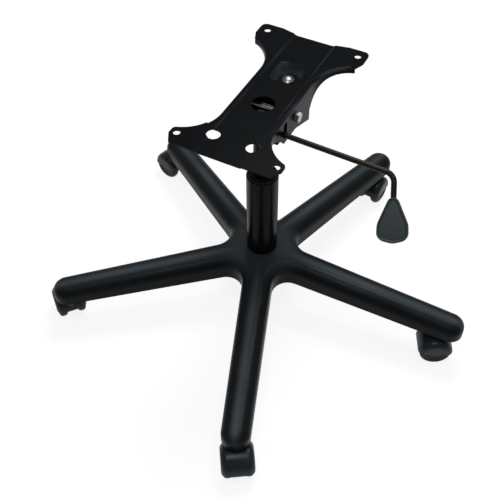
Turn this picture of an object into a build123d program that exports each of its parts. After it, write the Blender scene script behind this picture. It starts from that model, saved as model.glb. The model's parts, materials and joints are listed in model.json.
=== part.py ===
import os
from math import asin, cos, radians, sin, sqrt, tan

from build123d import *

os.makedirs("parts", exist_ok=True)

# All sizes are millimetres. The origin is on the floor under the column axis,
# +Z is up, +Y is the seat's front and +X is the side of the release lever.

# Star base
ARM_COUNT = 5
ARM_TURN = 2.7
ARM_REACH = 330.0
ARM_ROOT_WIDTH = 50.0
ARM_END_WIDTH = 44.0
ARM_CROTCH_RADIUS = 28.0
RIDGE_AT_AXIS = 118.0
RIDGE_AT_END = 90.0
UNDERSIDE_AT_AXIS = 76.0
UNDERSIDE_AT_END = 60.0
RIDGE_ROUND = 17.0
STAR_WALL = 4.0
STAR_ROOF = 5.0
RIB_THICKNESS = 3.0
RIB_SPACING = 52.0
RIB_FIRST = 96.0
RIB_COUNT = 4
HUB_DIAMETER = 76.0
HUB_UNDERSIDE = 62.0
HUB_RING_DIAMETER = 68.0
HUB_RING_HEIGHT = 14.0

# Gas lift column
COLUMN_DIAMETER = 50.0
COLUMN_FOOT_DIAMETER = 47.6
COLUMN_WALL = 2.0
COLUMN_FOOT = 56.0
COLUMN_TOP = 275.0
COLUMN_TAPER_TOP = 124.0
COLUMN_FLOOR_THICKNESS = 4.0
COLUMN_RIM_ROUND = 1.5
BUSH_LENGTH = 70.0
BUSH_RIM = 3.0
CYLINDER_DIAMETER = 28.0
CYLINDER_BORE = 23.0
CYLINDER_FOOT = 178.0
CYLINDER_TOP = 381.0
CYLINDER_SEAL = 12.0
CYLINDER_VALVE = 24.0
CYLINDER_NOSE_DIAMETER = 26.0
NOSE_TAPER_FOOT = 328.0
ROD_DIAMETER = 10.0
ROD_END_DIAMETER = 8.0
PISTON_HEIGHT = 10.0
PIN_DIAMETER = 6.0
PIN_STAND = 6.5
PIN_TRAVEL_ROOM = 7.0
THRUST_WASHER = 2.0
THRUST_BEARING = 5.0
THRUST_DIAMETER = 26.0
BUFFER_HEIGHT = 12.0
CLIP_THICKNESS = 1.6
CLIP_DIAMETER = 15.0
CLIP_GROOVE_DEPTH = 1.0

# Casters
WHEEL_DIAMETER = 50.0
WHEEL_WIDTH = 14.5
WHEEL_EDGE = 3.0
HOOD_DIAMETER = 56.0
HOOD_WALL = 1.8
HOOD_EDGE = 4.5
HOOD_SKIRT = 2.0
WEB_WIDTH = 16.0
WHEEL_SIDE_GAP = 0.5
CASTER_TRAIL = 18.0
NECK_DIAMETER = 20.0
NECK_TOP = 55.0
STEM_DIAMETER = 11.0
STEM_COLLAR_DIAMETER = 16.0
STEM_SHANK_DIAMETER = 9.0
STEM_SHANK_DEPTH = 24.0
STEM_HEIGHT = 24.0
STEM_GROOVE_DEPTH = 0.9
GRIP_RING_HEIGHT = 3.0
GRIP_RING_LEVEL = 74.0
SOCKET_DIAMETER = 23.0
AXLE_DIAMETER = 6.0
AXLE_BOSS_DIAMETER = 18.0
CASTER_TURNS = (-154.0, -96.0, 165.0, 140.0, -57.0)

# Seat plate
SEAT_TOP = 410.0
SHEET = 2.5
WAIST_WIDTH = 85.0
WAIST_FRONT = 72.0
WAIST_REAR = -44.0
FRONT_FLARE = 68.0
FRONT_EAR_START = 66.0
REAR_FLARE = 58.0
REAR_EAR_START = 72.0
EAR_HALF_WIDTH = 89.0
REAR_EAR_HALF_WIDTH = 85.0
FRONT_EDGE = 171.0
FRONT_EAR_EDGE = 177.0
FRONT_EAR_BACK = 149.0
FRONT_EAR_FLAT = 56.0
REAR_EDGE = -129.0
REAR_EAR_EDGE = -113.0
REAR_EAR_FRONT = -103.0
REAR_EAR_CORNER = 76.0
EAR_ROUND = 9.0
SEAT_HOLE_ACROSS = 150.0
SEAT_HOLE_FRONT = 161.7
SEAT_HOLE_REAR = -108.3
SEAT_HOLE_DIAMETER = 10.5
LIGHTENING_HOLE_DIAMETER = 20.0
LIGHTENING_HOLE_ACROSS = 60.0
LIGHTENING_HOLE_BACK = -87.7
ACCESS_HOLE_DIAMETER = 34.0
CHANNEL_WIDTH = 64.0
CHANNEL_DEPTH = 1.5
CHANNEL_SLOPE = 3.0
FLANGE_BEND = 4.0
FLANGE_FRONT_END = 134.0
FLANGE_REAR_END = -72.0
FLANGE_SHALLOW = 10.0
FLANGE_DEEP = 62.0
FLANGE_DEEP_FRONT = 67.0
FLANGE_MIDDLE = 44.0
FLANGE_MIDDLE_FRONT = 20.0
FLANGE_MIDDLE_REAR = -18.0
FLANGE_SCOOP_FORWARD = 85.0
FLANGE_SCOOP_DROP = 22.0
FLANGE_TOE = 18.0
FLANGE_HEEL_FORWARD = -40.0
FLANGE_HEEL_DROP = 24.0
DISH_WIDTH = 44.0
DISH_LENGTH = 48.0
DISH_DEPTH = 14.0
DISH_CORNER = 10.0
DISH_DRAFT = 16.0
DISH_ROUND = 2.5

# Tilt pivot and bracket
PIVOT_FORWARD = 20.5
PIVOT_DROP = 23.0
PIVOT_DIAMETER = 8.0
PIVOT_HEX = 13.0
PIVOT_HEX_HEIGHT = 6.0
PIVOT_THREAD_END = 2.5
BRACKET_SHEET = 3.0
BRACKET_GAP = 1.0
BRACKET_FLOOR_DROP = 41.0
BRACKET_REAR = -28.0
BRACKET_WALL_FRONT = 78.0
BRACKET_TONGUE_END = 100.0
BRACKET_TONGUE_WIDTH = 40.0
BRACKET_FOLD = 4.0
BRACKET_SHOULDER_FRONT = 64.0
BRACKET_SHOULDER_REAR = 8.0
BRACKET_WALL_DROP_FRONT = 9.0
BRACKET_WALL_DROP_REAR = 19.0
PIVOT_BUSH_DIAMETER = 14.0
PIVOT_BUSH_FLANGE = 18.0
SOCKET_TUBE_DIAMETER = 38.0
SOCKET_TUBE_FOOT = 348.0
SOCKET_TUBE_TOP = 378.0
STOP_DIAMETER = 14.0
STOP_ACROSS = 52.0
STOP_FORWARD = 40.0
STOP_SQUEEZE_GAP = 0.3

# Tilt tension
TENSION_FORWARD = 80.0
TENSION_BOLT_DIAMETER = 10.0
TENSION_HEAD_DIAMETER = 20.0
TENSION_HEAD_HEIGHT = 6.0
TENSION_HEAD_EDGE = 2.0
TENSION_SLOT_FORWARD = 9.0
TENSION_SLOT_BACK = 2.0
TENSION_SPRING_DIAMETER = 30.0
TENSION_SPRING_WAIST = 25.0
TENSION_SPRING_LENGTH = 32.0
TENSION_CAP_THICKNESS = 2.5
KNOB_DIAMETER = 34.0
KNOB_HEIGHT = 18.0
KNOB_LOBES = 6
KNOB_LOBE_DIAMETER = 9.0
KNOB_COVER = 3.0

# Release lever
LEVER_DIAMETER = 8.0
LEVER_BACK = 15.0
LEVER_DROP = 30.0
LEVER_SLOT_WIDTH = 11.0
LEVER_SLOT_RISE = 16.0
LEVER_INNER_END = -8.0
LEVER_INNER_BEND = 10.0
LEVER_OUTER_BEND = 26.0
LEVER_BEND_RADIUS = 9.0
LEVER_KNEE_OUT = 205.0
LEVER_KNEE_FALL = 4.5
LEVER_KNEE_RADIUS = 16.0
LEVER_KNEE_TURN = 71.0
LEVER_DROOP = 40.0
LEVER_TAIL = 60.0
LEVER_BUSH_FLANGE = 15.0
LEVER_BUSH_DIAMETER = 12.0
LEVER_BUSH_RIM = 1.5
LEVER_SWING = 7.0
HANDLE_START = 31.0
HANDLE_LENGTH = 62.0
HANDLE_WIDTH = 42.5
HANDLE_NECK_RADIUS = 8.5
HANDLE_CORNER_RADIUS = 11.0
HANDLE_CROWN = 2.0
HANDLE_BELLY_RADIUS = 17.0
HANDLE_BELLY_DOWN = 33.0
HANDLE_THICKNESS = 13.0
HANDLE_ROUND = 3.0

# Clearances
FIT = 0.05
RUNNING = 0.1
LOOSE = 0.3
ROOMY = 1.0

# Levels and places that several pieces share
WHEEL_RADIUS = WHEEL_DIAMETER / 2
FLANGE_FACE = WAIST_WIDTH / 2
FLANGE_INNER_FACE = FLANGE_FACE - SHEET
WALL_OUTER_FACE = FLANGE_INNER_FACE - BRACKET_GAP
WALL_INNER_FACE = WALL_OUTER_FACE - BRACKET_SHEET
SHEET_UNDERSIDE = SEAT_TOP - SHEET
PIVOT_LEVEL = SEAT_TOP - PIVOT_DROP
BRACKET_FLOOR = SEAT_TOP - BRACKET_FLOOR_DROP
BRACKET_FLOOR_TOP = BRACKET_FLOOR + BRACKET_SHEET
CHANNEL_FLOOR = SEAT_TOP - CHANNEL_DEPTH
CHANNEL_UNDERSIDE = CHANNEL_FLOOR - SHEET
DISH_FLOOR = SEAT_TOP - DISH_DEPTH
SPRING_FOOT = BRACKET_FLOOR - TENSION_SPRING_LENGTH
CAP_FOOT = SPRING_FOOT - TENSION_CAP_THICKNESS
KNOB_FOOT = CAP_FOOT - KNOB_HEIGHT
COLUMN_FLOOR_TOP = COLUMN_FOOT + COLUMN_FLOOR_THICKNESS
BEARING_FOOT = COLUMN_FLOOR_TOP + THRUST_WASHER
BEARING_TOP = BEARING_FOOT + THRUST_BEARING
ROD_SHOULDER = BEARING_TOP + THRUST_WASHER
PISTON_FOOT = CYLINDER_FOOT + CYLINDER_SEAL + LOOSE
CLIP_FOOT = COLUMN_FOOT - LOOSE - CLIP_THICKNESS
ROD_END_FOOT = CLIP_FOOT - CLIP_THICKNESS
BUSH_FOOT = COLUMN_TOP - BUSH_LENGTH
PIN_TOP = CYLINDER_TOP + PIN_STAND
LEVER_LEVEL = SEAT_TOP - LEVER_DROP
LEVER_INNER_LEVEL = PIN_TOP + LEVER_DIAMETER / 2 + LOOSE
FULCRUM_OUT = (WALL_OUTER_FACE + WALL_INNER_FACE - LEVER_BUSH_RIM) / 2
LEVER_FALL = LEVER_KNEE_FALL / (LEVER_KNEE_OUT - LEVER_OUTER_BEND)
FULCRUM_LEVEL = LEVER_LEVEL - (FULCRUM_OUT - LEVER_OUTER_BEND) * LEVER_FALL
SEAT_HOLE_POINTS = [
    (side * SEAT_HOLE_ACROSS / 2, along)
    for side in (-1, 1)
    for along in (SEAT_HOLE_FRONT, SEAT_HOLE_REAR)
]


def save(piece, name):
    """Label a finished piece and write it as one STEP file."""
    piece.part.label = name
    export_step(piece.part, f"parts/{name}.step")


def ridge_height(radius):
    """Height of the arms' ridge line at a distance from the column axis."""
    return RIDGE_AT_AXIS + (RIDGE_AT_END - RIDGE_AT_AXIS) * radius / ARM_REACH


def underside_height(radius):
    """Height of the arms' open underside at a distance from the column axis."""
    return UNDERSIDE_AT_AXIS + (UNDERSIDE_AT_END - UNDERSIDE_AT_AXIS) * radius / ARM_REACH


def nose_radius(height):
    """Radius of the cylinder's tapered nose at a height."""
    share = (height - NOSE_TAPER_FOOT) / (CYLINDER_TOP - NOSE_TAPER_FOOT)
    return (CYLINDER_DIAMETER + (CYLINDER_NOSE_DIAMETER - CYLINDER_DIAMETER) * share) / 2


def dome_height(distance):
    """Height of the tension bolt's domed head at a distance from its axis."""
    rise = TENSION_HEAD_HEIGHT - TENSION_HEAD_EDGE
    sphere = ((TENSION_HEAD_DIAMETER / 2) ** 2 + rise**2) / (2 * rise)
    return DISH_FLOOR + TENSION_HEAD_HEIGHT - sphere + sqrt(sphere**2 - distance**2)


def star_plan(inset):
    """Plan of the five arms, pulled in all round by the inset."""
    root = ARM_ROOT_WIDTH / 2 - inset
    end = ARM_END_WIDTH / 2 - inset
    lean = asin((root - end) / ARM_REACH)
    touch_x = ARM_REACH + end * sin(lean)
    touch_y = end * cos(lean)
    root_y = root / cos(lean)
    with BuildSketch() as arm:
        with BuildLine():
            Line((0, root_y), (touch_x, touch_y))
            ThreePointArc((touch_x, touch_y), (ARM_REACH + end, 0), (touch_x, -touch_y))
            Polyline((touch_x, -touch_y), (0, -root_y), (0, root_y))
        make_face()
    with BuildSketch() as plan:
        with PolarLocations(0, ARM_COUNT, start_angle=ARM_TURN):
            add(arm.sketch)
        crotches = plan.vertices().filter_by(lambda v: Vector(v).length < ARM_REACH / 2)
        fillet(crotches, ARM_CROTCH_RADIUS + inset)
    return plan.sketch


def star_envelope(roof_drop, floor_drop):
    """Half section of the space between the ridge cone and the underside cone."""
    rim = ARM_REACH + ARM_END_WIDTH
    with BuildSketch(Plane.XZ) as section:
        with BuildLine():
            Polyline(
                (0, underside_height(0) - floor_drop),
                (rim, underside_height(rim) - floor_drop),
                (rim, ridge_height(rim) - roof_drop),
                (0, ridge_height(0) - roof_drop),
                close=True,
            )
        make_face()
    return section.sketch


def star_block(inset, roof_drop, floor_drop):
    """The star as a solid, pulled in by a wall and lowered by a roof."""
    with BuildPart() as block:
        with BuildSketch():
            add(star_plan(inset))
        extrude(amount=RIDGE_AT_AXIS)
        with BuildSketch(Plane.XZ):
            add(star_envelope(roof_drop, floor_drop))
        revolve(axis=Axis.Z, mode=Mode.INTERSECT)
        ridge = block.faces().sort_by(Axis.Z)[-1]
        rims = ridge.edges().filter_by(GeomType.LINE, reverse=True)
        fillet(rims, RIDGE_ROUND - inset)
    return block.part


# Stiffening ribs inside the arms
with BuildPart() as ribs:
    with BuildSketch():
        with PolarLocations(0, ARM_COUNT, start_angle=ARM_TURN):
            with Locations((ARM_REACH / 2, 0)):
                Rectangle(ARM_REACH, RIB_THICKNESS)
            with Locations([(RIB_FIRST + RIB_SPACING * step, 0) for step in range(RIB_COUNT)]):
                Rectangle(RIB_THICKNESS, ARM_ROOT_WIDTH)
    extrude(amount=RIDGE_AT_AXIS)
    add(star_block(STAR_WALL / 2, STAR_ROOF / 2, -STAR_ROOF), mode=Mode.INTERSECT)

# Star base: five hollow ribbed arms, a hub for the column and a caster socket in each end
with BuildPart() as star_base:
    add(star_block(0, 0, 0))
    add(star_block(STAR_WALL, STAR_ROOF, STAR_ROOF), mode=Mode.SUBTRACT)
    add(ribs.part)
    with BuildSketch(Plane.XY.offset(HUB_UNDERSIDE)):
        Circle(HUB_DIAMETER / 2)
    extrude(amount=ridge_height(HUB_DIAMETER / 2) - STAR_ROOF / 2 - HUB_UNDERSIDE)
    with BuildSketch(Plane.XY.offset(UNDERSIDE_AT_END)):
        with PolarLocations(ARM_REACH, ARM_COUNT, start_angle=ARM_TURN):
            Circle(SOCKET_DIAMETER / 2)
    extrude(amount=RIDGE_AT_END - STAR_ROOF / 2 - UNDERSIDE_AT_END)
    with BuildSketch(Plane.XY.offset(UNDERSIDE_AT_END)):
        with PolarLocations(ARM_REACH, ARM_COUNT, start_angle=ARM_TURN):
            Circle(STEM_DIAMETER / 2 + RUNNING)
    extrude(amount=STEM_HEIGHT + ROOMY, mode=Mode.SUBTRACT)
    with BuildSketch(Plane.XZ):
        with BuildLine():
            Polyline(
                (0, COLUMN_FOOT),
                (COLUMN_FOOT_DIAMETER / 2 + FIT, COLUMN_FOOT),
                (COLUMN_DIAMETER / 2 + FIT, COLUMN_TAPER_TOP),
                (0, COLUMN_TAPER_TOP),
                close=True,
            )
        make_face()
    revolve(axis=Axis.Z, mode=Mode.SUBTRACT)
    with BuildSketch(Plane.XY.offset(HUB_UNDERSIDE)):
        Circle(HUB_RING_DIAMETER / 2 + FIT)
        Circle(HUB_RING_DIAMETER / 2 - STAR_WALL - FIT, mode=Mode.SUBTRACT)
    extrude(amount=HUB_RING_HEIGHT, mode=Mode.SUBTRACT)
save(star_base, "star_base")

# Steel ring let into the hub's underside so that the wedged column can't split it
with BuildPart() as hub_ring:
    with BuildSketch(Plane.XY.offset(HUB_UNDERSIDE)):
        Circle(HUB_RING_DIAMETER / 2)
        Circle(HUB_RING_DIAMETER / 2 - STAR_WALL, mode=Mode.SUBTRACT)
    extrude(amount=HUB_RING_HEIGHT)
save(hub_ring, "hub_ring")

# Split rings that hold the caster stems in their sockets
with BuildPart() as grip_rings:
    with BuildSketch(Plane.XY.offset(GRIP_RING_LEVEL)):
        with PolarLocations(ARM_REACH, ARM_COUNT, start_angle=ARM_TURN):
            Circle(STEM_DIAMETER / 2 + RUNNING / 2)
            Circle(STEM_DIAMETER / 2 - STEM_GROOVE_DEPTH + RUNNING, mode=Mode.SUBTRACT)
            with Locations((STEM_DIAMETER / 2, 0)):
                Rectangle(STEM_DIAMETER / 2, GRIP_RING_HEIGHT / 2, mode=Mode.SUBTRACT)
    extrude(amount=GRIP_RING_HEIGHT)
save(grip_rings, "caster_grip_rings")


def make_caster(number, turn):
    """Hooded twin-wheel caster under one arm end, trailing at its own swivel angle."""
    arm_angle = radians(ARM_TURN + number * 360 / ARM_COUNT)
    trail = Vector(cos(radians(turn)), sin(radians(turn)), 0)
    across = Vector(trail.Y, -trail.X, 0)
    stem_foot = Vector(ARM_REACH * cos(arm_angle), ARM_REACH * sin(arm_angle), 0)
    axle_centre = stem_foot + trail * CASTER_TRAIL + Vector(0, 0, WHEEL_RADIUS)
    middle = Plane(axle_centre, x_dir=trail, z_dir=across)
    upright = Plane(stem_foot, x_dir=trail, z_dir=(0, 0, 1))
    hood_radius = HOOD_DIAMETER / 2
    hood_width = WEB_WIDTH + 2 * (WHEEL_WIDTH + 2 * WHEEL_SIDE_GAP + HOOD_WALL)
    wheel_start = WEB_WIDTH / 2 + WHEEL_SIDE_GAP
    pocket_end = hood_width / 2 - HOOD_WALL
    pocket_radius = hood_radius - HOOD_WALL
    prefix = f"caster_{number + 1}"

    with BuildPart() as hood:
        with BuildSketch(middle):
            Circle(hood_radius)
            with Locations((0, HOOD_SKIRT - hood_radius)):
                Rectangle(2 * hood_radius, 2 * hood_radius, mode=Mode.SUBTRACT)
        extrude(amount=hood_width / 2, both=True)
        drum = hood.faces().filter_by(GeomType.CYLINDER).sort_by(Axis.Z)[-1]
        chamfer(drum.edges().filter_by(GeomType.CIRCLE), HOOD_EDGE)
        with BuildSketch(upright.offset(WHEEL_RADIUS + HOOD_SKIRT)):
            Circle(NECK_DIAMETER / 2)
        extrude(amount=NECK_TOP - WHEEL_RADIUS - HOOD_SKIRT)
        for side in (-1, 1):
            with BuildSketch(Plane(axle_centre, x_dir=across * side, z_dir=trail * side)):
                with BuildLine():
                    Polyline(
                        (WEB_WIDTH / 2, 0),
                        (WEB_WIDTH / 2, pocket_radius),
                        (pocket_end - WHEEL_EDGE, pocket_radius),
                        (pocket_end, pocket_radius - WHEEL_EDGE),
                        (pocket_end, 0),
                        close=True,
                    )
                make_face()
            revolve(axis=Axis(axle_centre, across), mode=Mode.SUBTRACT)
        with BuildSketch(middle):
            Circle(AXLE_BOSS_DIAMETER / 2)
        extrude(amount=WEB_WIDTH / 2, both=True)
        with BuildSketch(middle):
            Circle(AXLE_DIAMETER / 2 + FIT)
        extrude(amount=WEB_WIDTH, both=True, mode=Mode.SUBTRACT)
        with BuildSketch(upright.offset(NECK_TOP)):
            Circle(STEM_SHANK_DIAMETER / 2 + FIT)
        extrude(amount=-STEM_SHANK_DEPTH, mode=Mode.SUBTRACT)
    save(hood, f"{prefix}_hood")

    with BuildPart() as stem:
        with BuildSketch(upright.offset(NECK_TOP - STEM_SHANK_DEPTH + LOOSE)):
            Circle(STEM_SHANK_DIAMETER / 2)
        extrude(amount=STEM_SHANK_DEPTH)
        with BuildSketch(upright.offset(NECK_TOP)):
            Circle(STEM_COLLAR_DIAMETER / 2)
        extrude(amount=UNDERSIDE_AT_END - LOOSE - NECK_TOP)
        with BuildSketch(upright.offset(UNDERSIDE_AT_END - LOOSE)):
            Circle(STEM_DIAMETER / 2)
        extrude(amount=STEM_HEIGHT)
        with BuildSketch(upright.offset(GRIP_RING_LEVEL - LOOSE)):
            Circle(STEM_DIAMETER)
            Circle(STEM_DIAMETER / 2 - STEM_GROOVE_DEPTH, mode=Mode.SUBTRACT)
        extrude(amount=GRIP_RING_HEIGHT + 2 * LOOSE, mode=Mode.SUBTRACT)
    save(stem, f"{prefix}_stem")

    with BuildPart() as axle:
        with BuildSketch(middle):
            Circle(AXLE_DIAMETER / 2)
        extrude(amount=wheel_start + WHEEL_WIDTH - WHEEL_SIDE_GAP, both=True)
    save(axle, f"{prefix}_axle")

    for side, hand in ((-1, "left"), (1, "right")):
        with BuildPart() as wheel:
            with BuildSketch(middle.offset(side * wheel_start)):
                Circle(WHEEL_RADIUS)
                Circle(AXLE_DIAMETER / 2 + RUNNING, mode=Mode.SUBTRACT)
            extrude(amount=side * WHEEL_WIDTH)
            tread = wheel.faces().filter_by(GeomType.CYLINDER).sort_by(SortBy.AREA)[-1]
            rims = tread.edges().filter_by(GeomType.CIRCLE)
            outer_rim = rims.sort_by(lambda edge: (edge.center() - axle_centre).length)[-1]
            chamfer(outer_rim, WHEEL_EDGE)
        save(wheel, f"{prefix}_wheel_{hand}")


for number, turn in enumerate(CASTER_TURNS):
    make_caster(number, turn)

# Outer column tube: wedged into the hub, closed by a floor that carries the thrust bearing
with BuildPart() as column_tube:
    with BuildSketch(Plane.XZ):
        with BuildLine():
            Polyline(
                (ROD_END_DIAMETER / 2 + RUNNING, COLUMN_FOOT),
                (COLUMN_FOOT_DIAMETER / 2, COLUMN_FOOT),
                (COLUMN_DIAMETER / 2, COLUMN_TAPER_TOP),
                (COLUMN_DIAMETER / 2, COLUMN_TOP - COLUMN_RIM_ROUND),
                (COLUMN_DIAMETER / 2 - COLUMN_RIM_ROUND, COLUMN_TOP),
                (COLUMN_DIAMETER / 2 - COLUMN_WALL, COLUMN_TOP),
                (COLUMN_DIAMETER / 2 - COLUMN_WALL, COLUMN_TAPER_TOP),
                (COLUMN_FOOT_DIAMETER / 2 - COLUMN_WALL, COLUMN_FLOOR_TOP),
                (ROD_END_DIAMETER / 2 + RUNNING, COLUMN_FLOOR_TOP),
                close=True,
            )
        make_face()
    revolve(axis=Axis.Z)
save(column_tube, "column_tube")

# Plastic guide bush in the mouth of the tube
with BuildPart() as guide_bush:
    with BuildSketch(Plane.XY.offset(BUSH_FOOT)):
        Circle(COLUMN_DIAMETER / 2 - COLUMN_WALL - FIT)
        Circle(CYLINDER_DIAMETER / 2 + RUNNING, mode=Mode.SUBTRACT)
    extrude(amount=BUSH_LENGTH)
    with BuildSketch(Plane.XY.offset(COLUMN_TOP)):
        Circle(COLUMN_DIAMETER / 2 - COLUMN_RIM_ROUND)
        Circle(CYLINDER_DIAMETER / 2 + RUNNING, mode=Mode.SUBTRACT)
    extrude(amount=BUSH_RIM)
    lip = guide_bush.faces().sort_by(Axis.Z)[-1].outer_wire().edges()
    chamfer(lip, BUSH_RIM / 2)
save(guide_bush, "guide_bush")

# Pressure cylinder: sealed foot, smooth bore for the piston, tapered nose with the valve
with BuildPart() as pressure_cylinder:
    with BuildSketch(Plane.XZ):
        with BuildLine():
            Polyline(
                (ROD_DIAMETER / 2 + RUNNING, CYLINDER_FOOT),
                (CYLINDER_DIAMETER / 2, CYLINDER_FOOT),
                (CYLINDER_DIAMETER / 2, NOSE_TAPER_FOOT),
                (CYLINDER_NOSE_DIAMETER / 2, CYLINDER_TOP),
                (PIN_DIAMETER / 2 + RUNNING, CYLINDER_TOP),
                (PIN_DIAMETER / 2 + RUNNING, CYLINDER_TOP - CYLINDER_VALVE),
                (CYLINDER_BORE / 2, CYLINDER_TOP - CYLINDER_VALVE),
                (CYLINDER_BORE / 2, CYLINDER_FOOT + CYLINDER_SEAL),
                (ROD_DIAMETER / 2 + RUNNING, CYLINDER_FOOT + CYLINDER_SEAL),
                close=True,
            )
        make_face()
    revolve(axis=Axis.Z)
save(pressure_cylinder, "pressure_cylinder")

# Piston rod: stands on the thrust bearing, its thin end held under the tube's floor
with BuildPart() as piston_rod:
    with BuildSketch(Plane.XY.offset(ROD_END_FOOT)):
        Circle(ROD_END_DIAMETER / 2)
    extrude(amount=ROD_SHOULDER - ROD_END_FOOT)
    with BuildSketch(Plane.XY.offset(ROD_SHOULDER)):
        Circle(ROD_DIAMETER / 2)
    extrude(amount=PISTON_FOOT - ROD_SHOULDER)
    with BuildSketch(Plane.XY.offset(PISTON_FOOT)):
        Circle(ROD_END_DIAMETER / 2)
    extrude(amount=PISTON_HEIGHT)
    with BuildSketch(Plane.XY.offset(CLIP_FOOT)):
        Circle(ROD_DIAMETER)
        Circle(ROD_END_DIAMETER / 2 - CLIP_GROOVE_DEPTH, mode=Mode.SUBTRACT)
    extrude(amount=CLIP_THICKNESS, mode=Mode.SUBTRACT)
save(piston_rod, "piston_rod")

# Piston on the rod's upper end
with BuildPart() as piston:
    with BuildSketch(Plane.XY.offset(PISTON_FOOT)):
        Circle(CYLINDER_BORE / 2 - RUNNING)
        Circle(ROD_END_DIAMETER / 2 + FIT, mode=Mode.SUBTRACT)
    extrude(amount=PISTON_HEIGHT)
save(piston, "piston")

# Thrust bearing between two hard washers, the upper one under the rod's shoulder
for name, foot, thickness in (
    ("thrust_washer_lower", COLUMN_FLOOR_TOP, THRUST_WASHER),
    ("thrust_bearing", BEARING_FOOT, THRUST_BEARING),
    ("thrust_washer_upper", BEARING_TOP, THRUST_WASHER),
):
    with BuildPart() as washer:
        with BuildSketch(Plane.XY.offset(foot)):
            Circle(THRUST_DIAMETER / 2)
            Circle(ROD_END_DIAMETER / 2 + RUNNING, mode=Mode.SUBTRACT)
        extrude(amount=thickness)
    save(washer, name)

# Rubber buffer that the cylinder comes down on
with BuildPart() as rubber_buffer:
    with BuildSketch(Plane.XY.offset(ROD_SHOULDER)):
        Circle(THRUST_DIAMETER / 2)
        Circle(ROD_DIAMETER / 2 + RUNNING, mode=Mode.SUBTRACT)
    extrude(amount=BUFFER_HEIGHT)
    chamfer(rubber_buffer.faces().sort_by(Axis.Z)[-1].outer_wire().edges(), BUFFER_HEIGHT / 4)
save(rubber_buffer, "rubber_buffer")

# Spring clip in the rod's groove, under the floor of the tube
with BuildPart() as retaining_clip:
    with BuildSketch(Plane.XY.offset(CLIP_FOOT)):
        Circle(CLIP_DIAMETER / 2)
        Circle(ROD_END_DIAMETER / 2 - CLIP_GROOVE_DEPTH + FIT, mode=Mode.SUBTRACT)
        with Locations((CLIP_DIAMETER / 2, 0)):
            Rectangle(CLIP_DIAMETER, ROD_END_DIAMETER / 2, mode=Mode.SUBTRACT)
    extrude(amount=CLIP_THICKNESS)
save(retaining_clip, "retaining_clip")

# Release pin in the cylinder's valve
with BuildPart() as release_pin:
    with BuildSketch(Plane.XY.offset(PIN_TOP)):
        Circle(PIN_DIAMETER / 2)
    extrude(amount=PIN_TRAVEL_ROOM + CYLINDER_TOP - CYLINDER_VALVE - PIN_TOP)
    chamfer(release_pin.faces().sort_by(Axis.Z)[-1].edges(), ROOMY)
save(release_pin, "release_pin")


def flare_point(centre, radius, angle):
    """Point on a flare arc, turned by an angle from where it leaves the straight waist."""
    return (centre[0] - radius * cos(radians(angle)), centre[1] + radius * sin(radians(angle)))


def seat_side():
    """One side of the seat plate from its front ear to its rear ear, as a smooth line."""
    front_centre = (FLANGE_FACE + FRONT_FLARE, WAIST_FRONT)
    rear_centre = (FLANGE_FACE + REAR_FLARE, WAIST_REAR)
    with BuildLine() as side:
        ThreePointArc(
            flare_point(front_centre, FRONT_FLARE, FRONT_EAR_START),
            flare_point(front_centre, FRONT_FLARE, FRONT_EAR_START / 2),
            (FLANGE_FACE, WAIST_FRONT),
        )
        Line((FLANGE_FACE, WAIST_FRONT), (FLANGE_FACE, WAIST_REAR))
        ThreePointArc(
            (FLANGE_FACE, WAIST_REAR),
            flare_point(rear_centre, REAR_FLARE, -REAR_EAR_START / 2),
            flare_point(rear_centre, REAR_FLARE, -REAR_EAR_START),
        )
    return side.wire()


def seat_plan():
    """Plan of the pressed seat plate: a waist that flares into four ears."""
    side = seat_side()
    with BuildSketch() as plan:
        with BuildLine():
            Polyline(
                (0, FRONT_EDGE),
                (FRONT_EAR_FLAT / 2, FRONT_EDGE),
                (FRONT_EAR_FLAT, FRONT_EAR_EDGE),
                (EAR_HALF_WIDTH, FRONT_EAR_EDGE),
                (EAR_HALF_WIDTH, FRONT_EAR_BACK),
                side @ 0,
            )
            add(side)
            Polyline(
                side @ 1,
                (REAR_EAR_HALF_WIDTH, REAR_EAR_FRONT),
                (REAR_EAR_HALF_WIDTH, REAR_EAR_EDGE),
                (REAR_EAR_CORNER, REAR_EDGE),
                (0, REAR_EDGE),
                (0, FRONT_EDGE),
            )
        make_face()
        mirror(about=Plane.YZ)
        corners = plan.vertices().filter_by(lambda v: abs(v.X) > EAR_HALF_WIDTH - ROOMY and v.Y > 0)
        fillet(corners, EAR_ROUND)
    return plan.sketch


# Corner that the bend takes away from the outside of each flange
with BuildPart() as bend_corners:
    side = seat_side()
    with BuildSketch(Plane((side @ 0) + Vector(0, 0, SEAT_TOP), x_dir=(0, 0, 1), z_dir=side % 0)):
        Rectangle(FLANGE_BEND, FLANGE_BEND, align=(Align.MAX, Align.MIN))
        with Locations((-FLANGE_BEND, FLANGE_BEND)):
            Circle(FLANGE_BEND, mode=Mode.SUBTRACT)
    sweep(path=side.moved(Location((0, 0, SEAT_TOP))))
    with BuildSketch(Plane.XY.offset(SEAT_TOP)):
        with Locations((0, (FLANGE_FRONT_END + FLANGE_REAR_END) / 2)):
            Rectangle(2 * EAR_HALF_WIDTH, FLANGE_FRONT_END - FLANGE_REAR_END)
    extrude(amount=-FLANGE_BEND, mode=Mode.INTERSECT)
    mirror(about=Plane.YZ)

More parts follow.
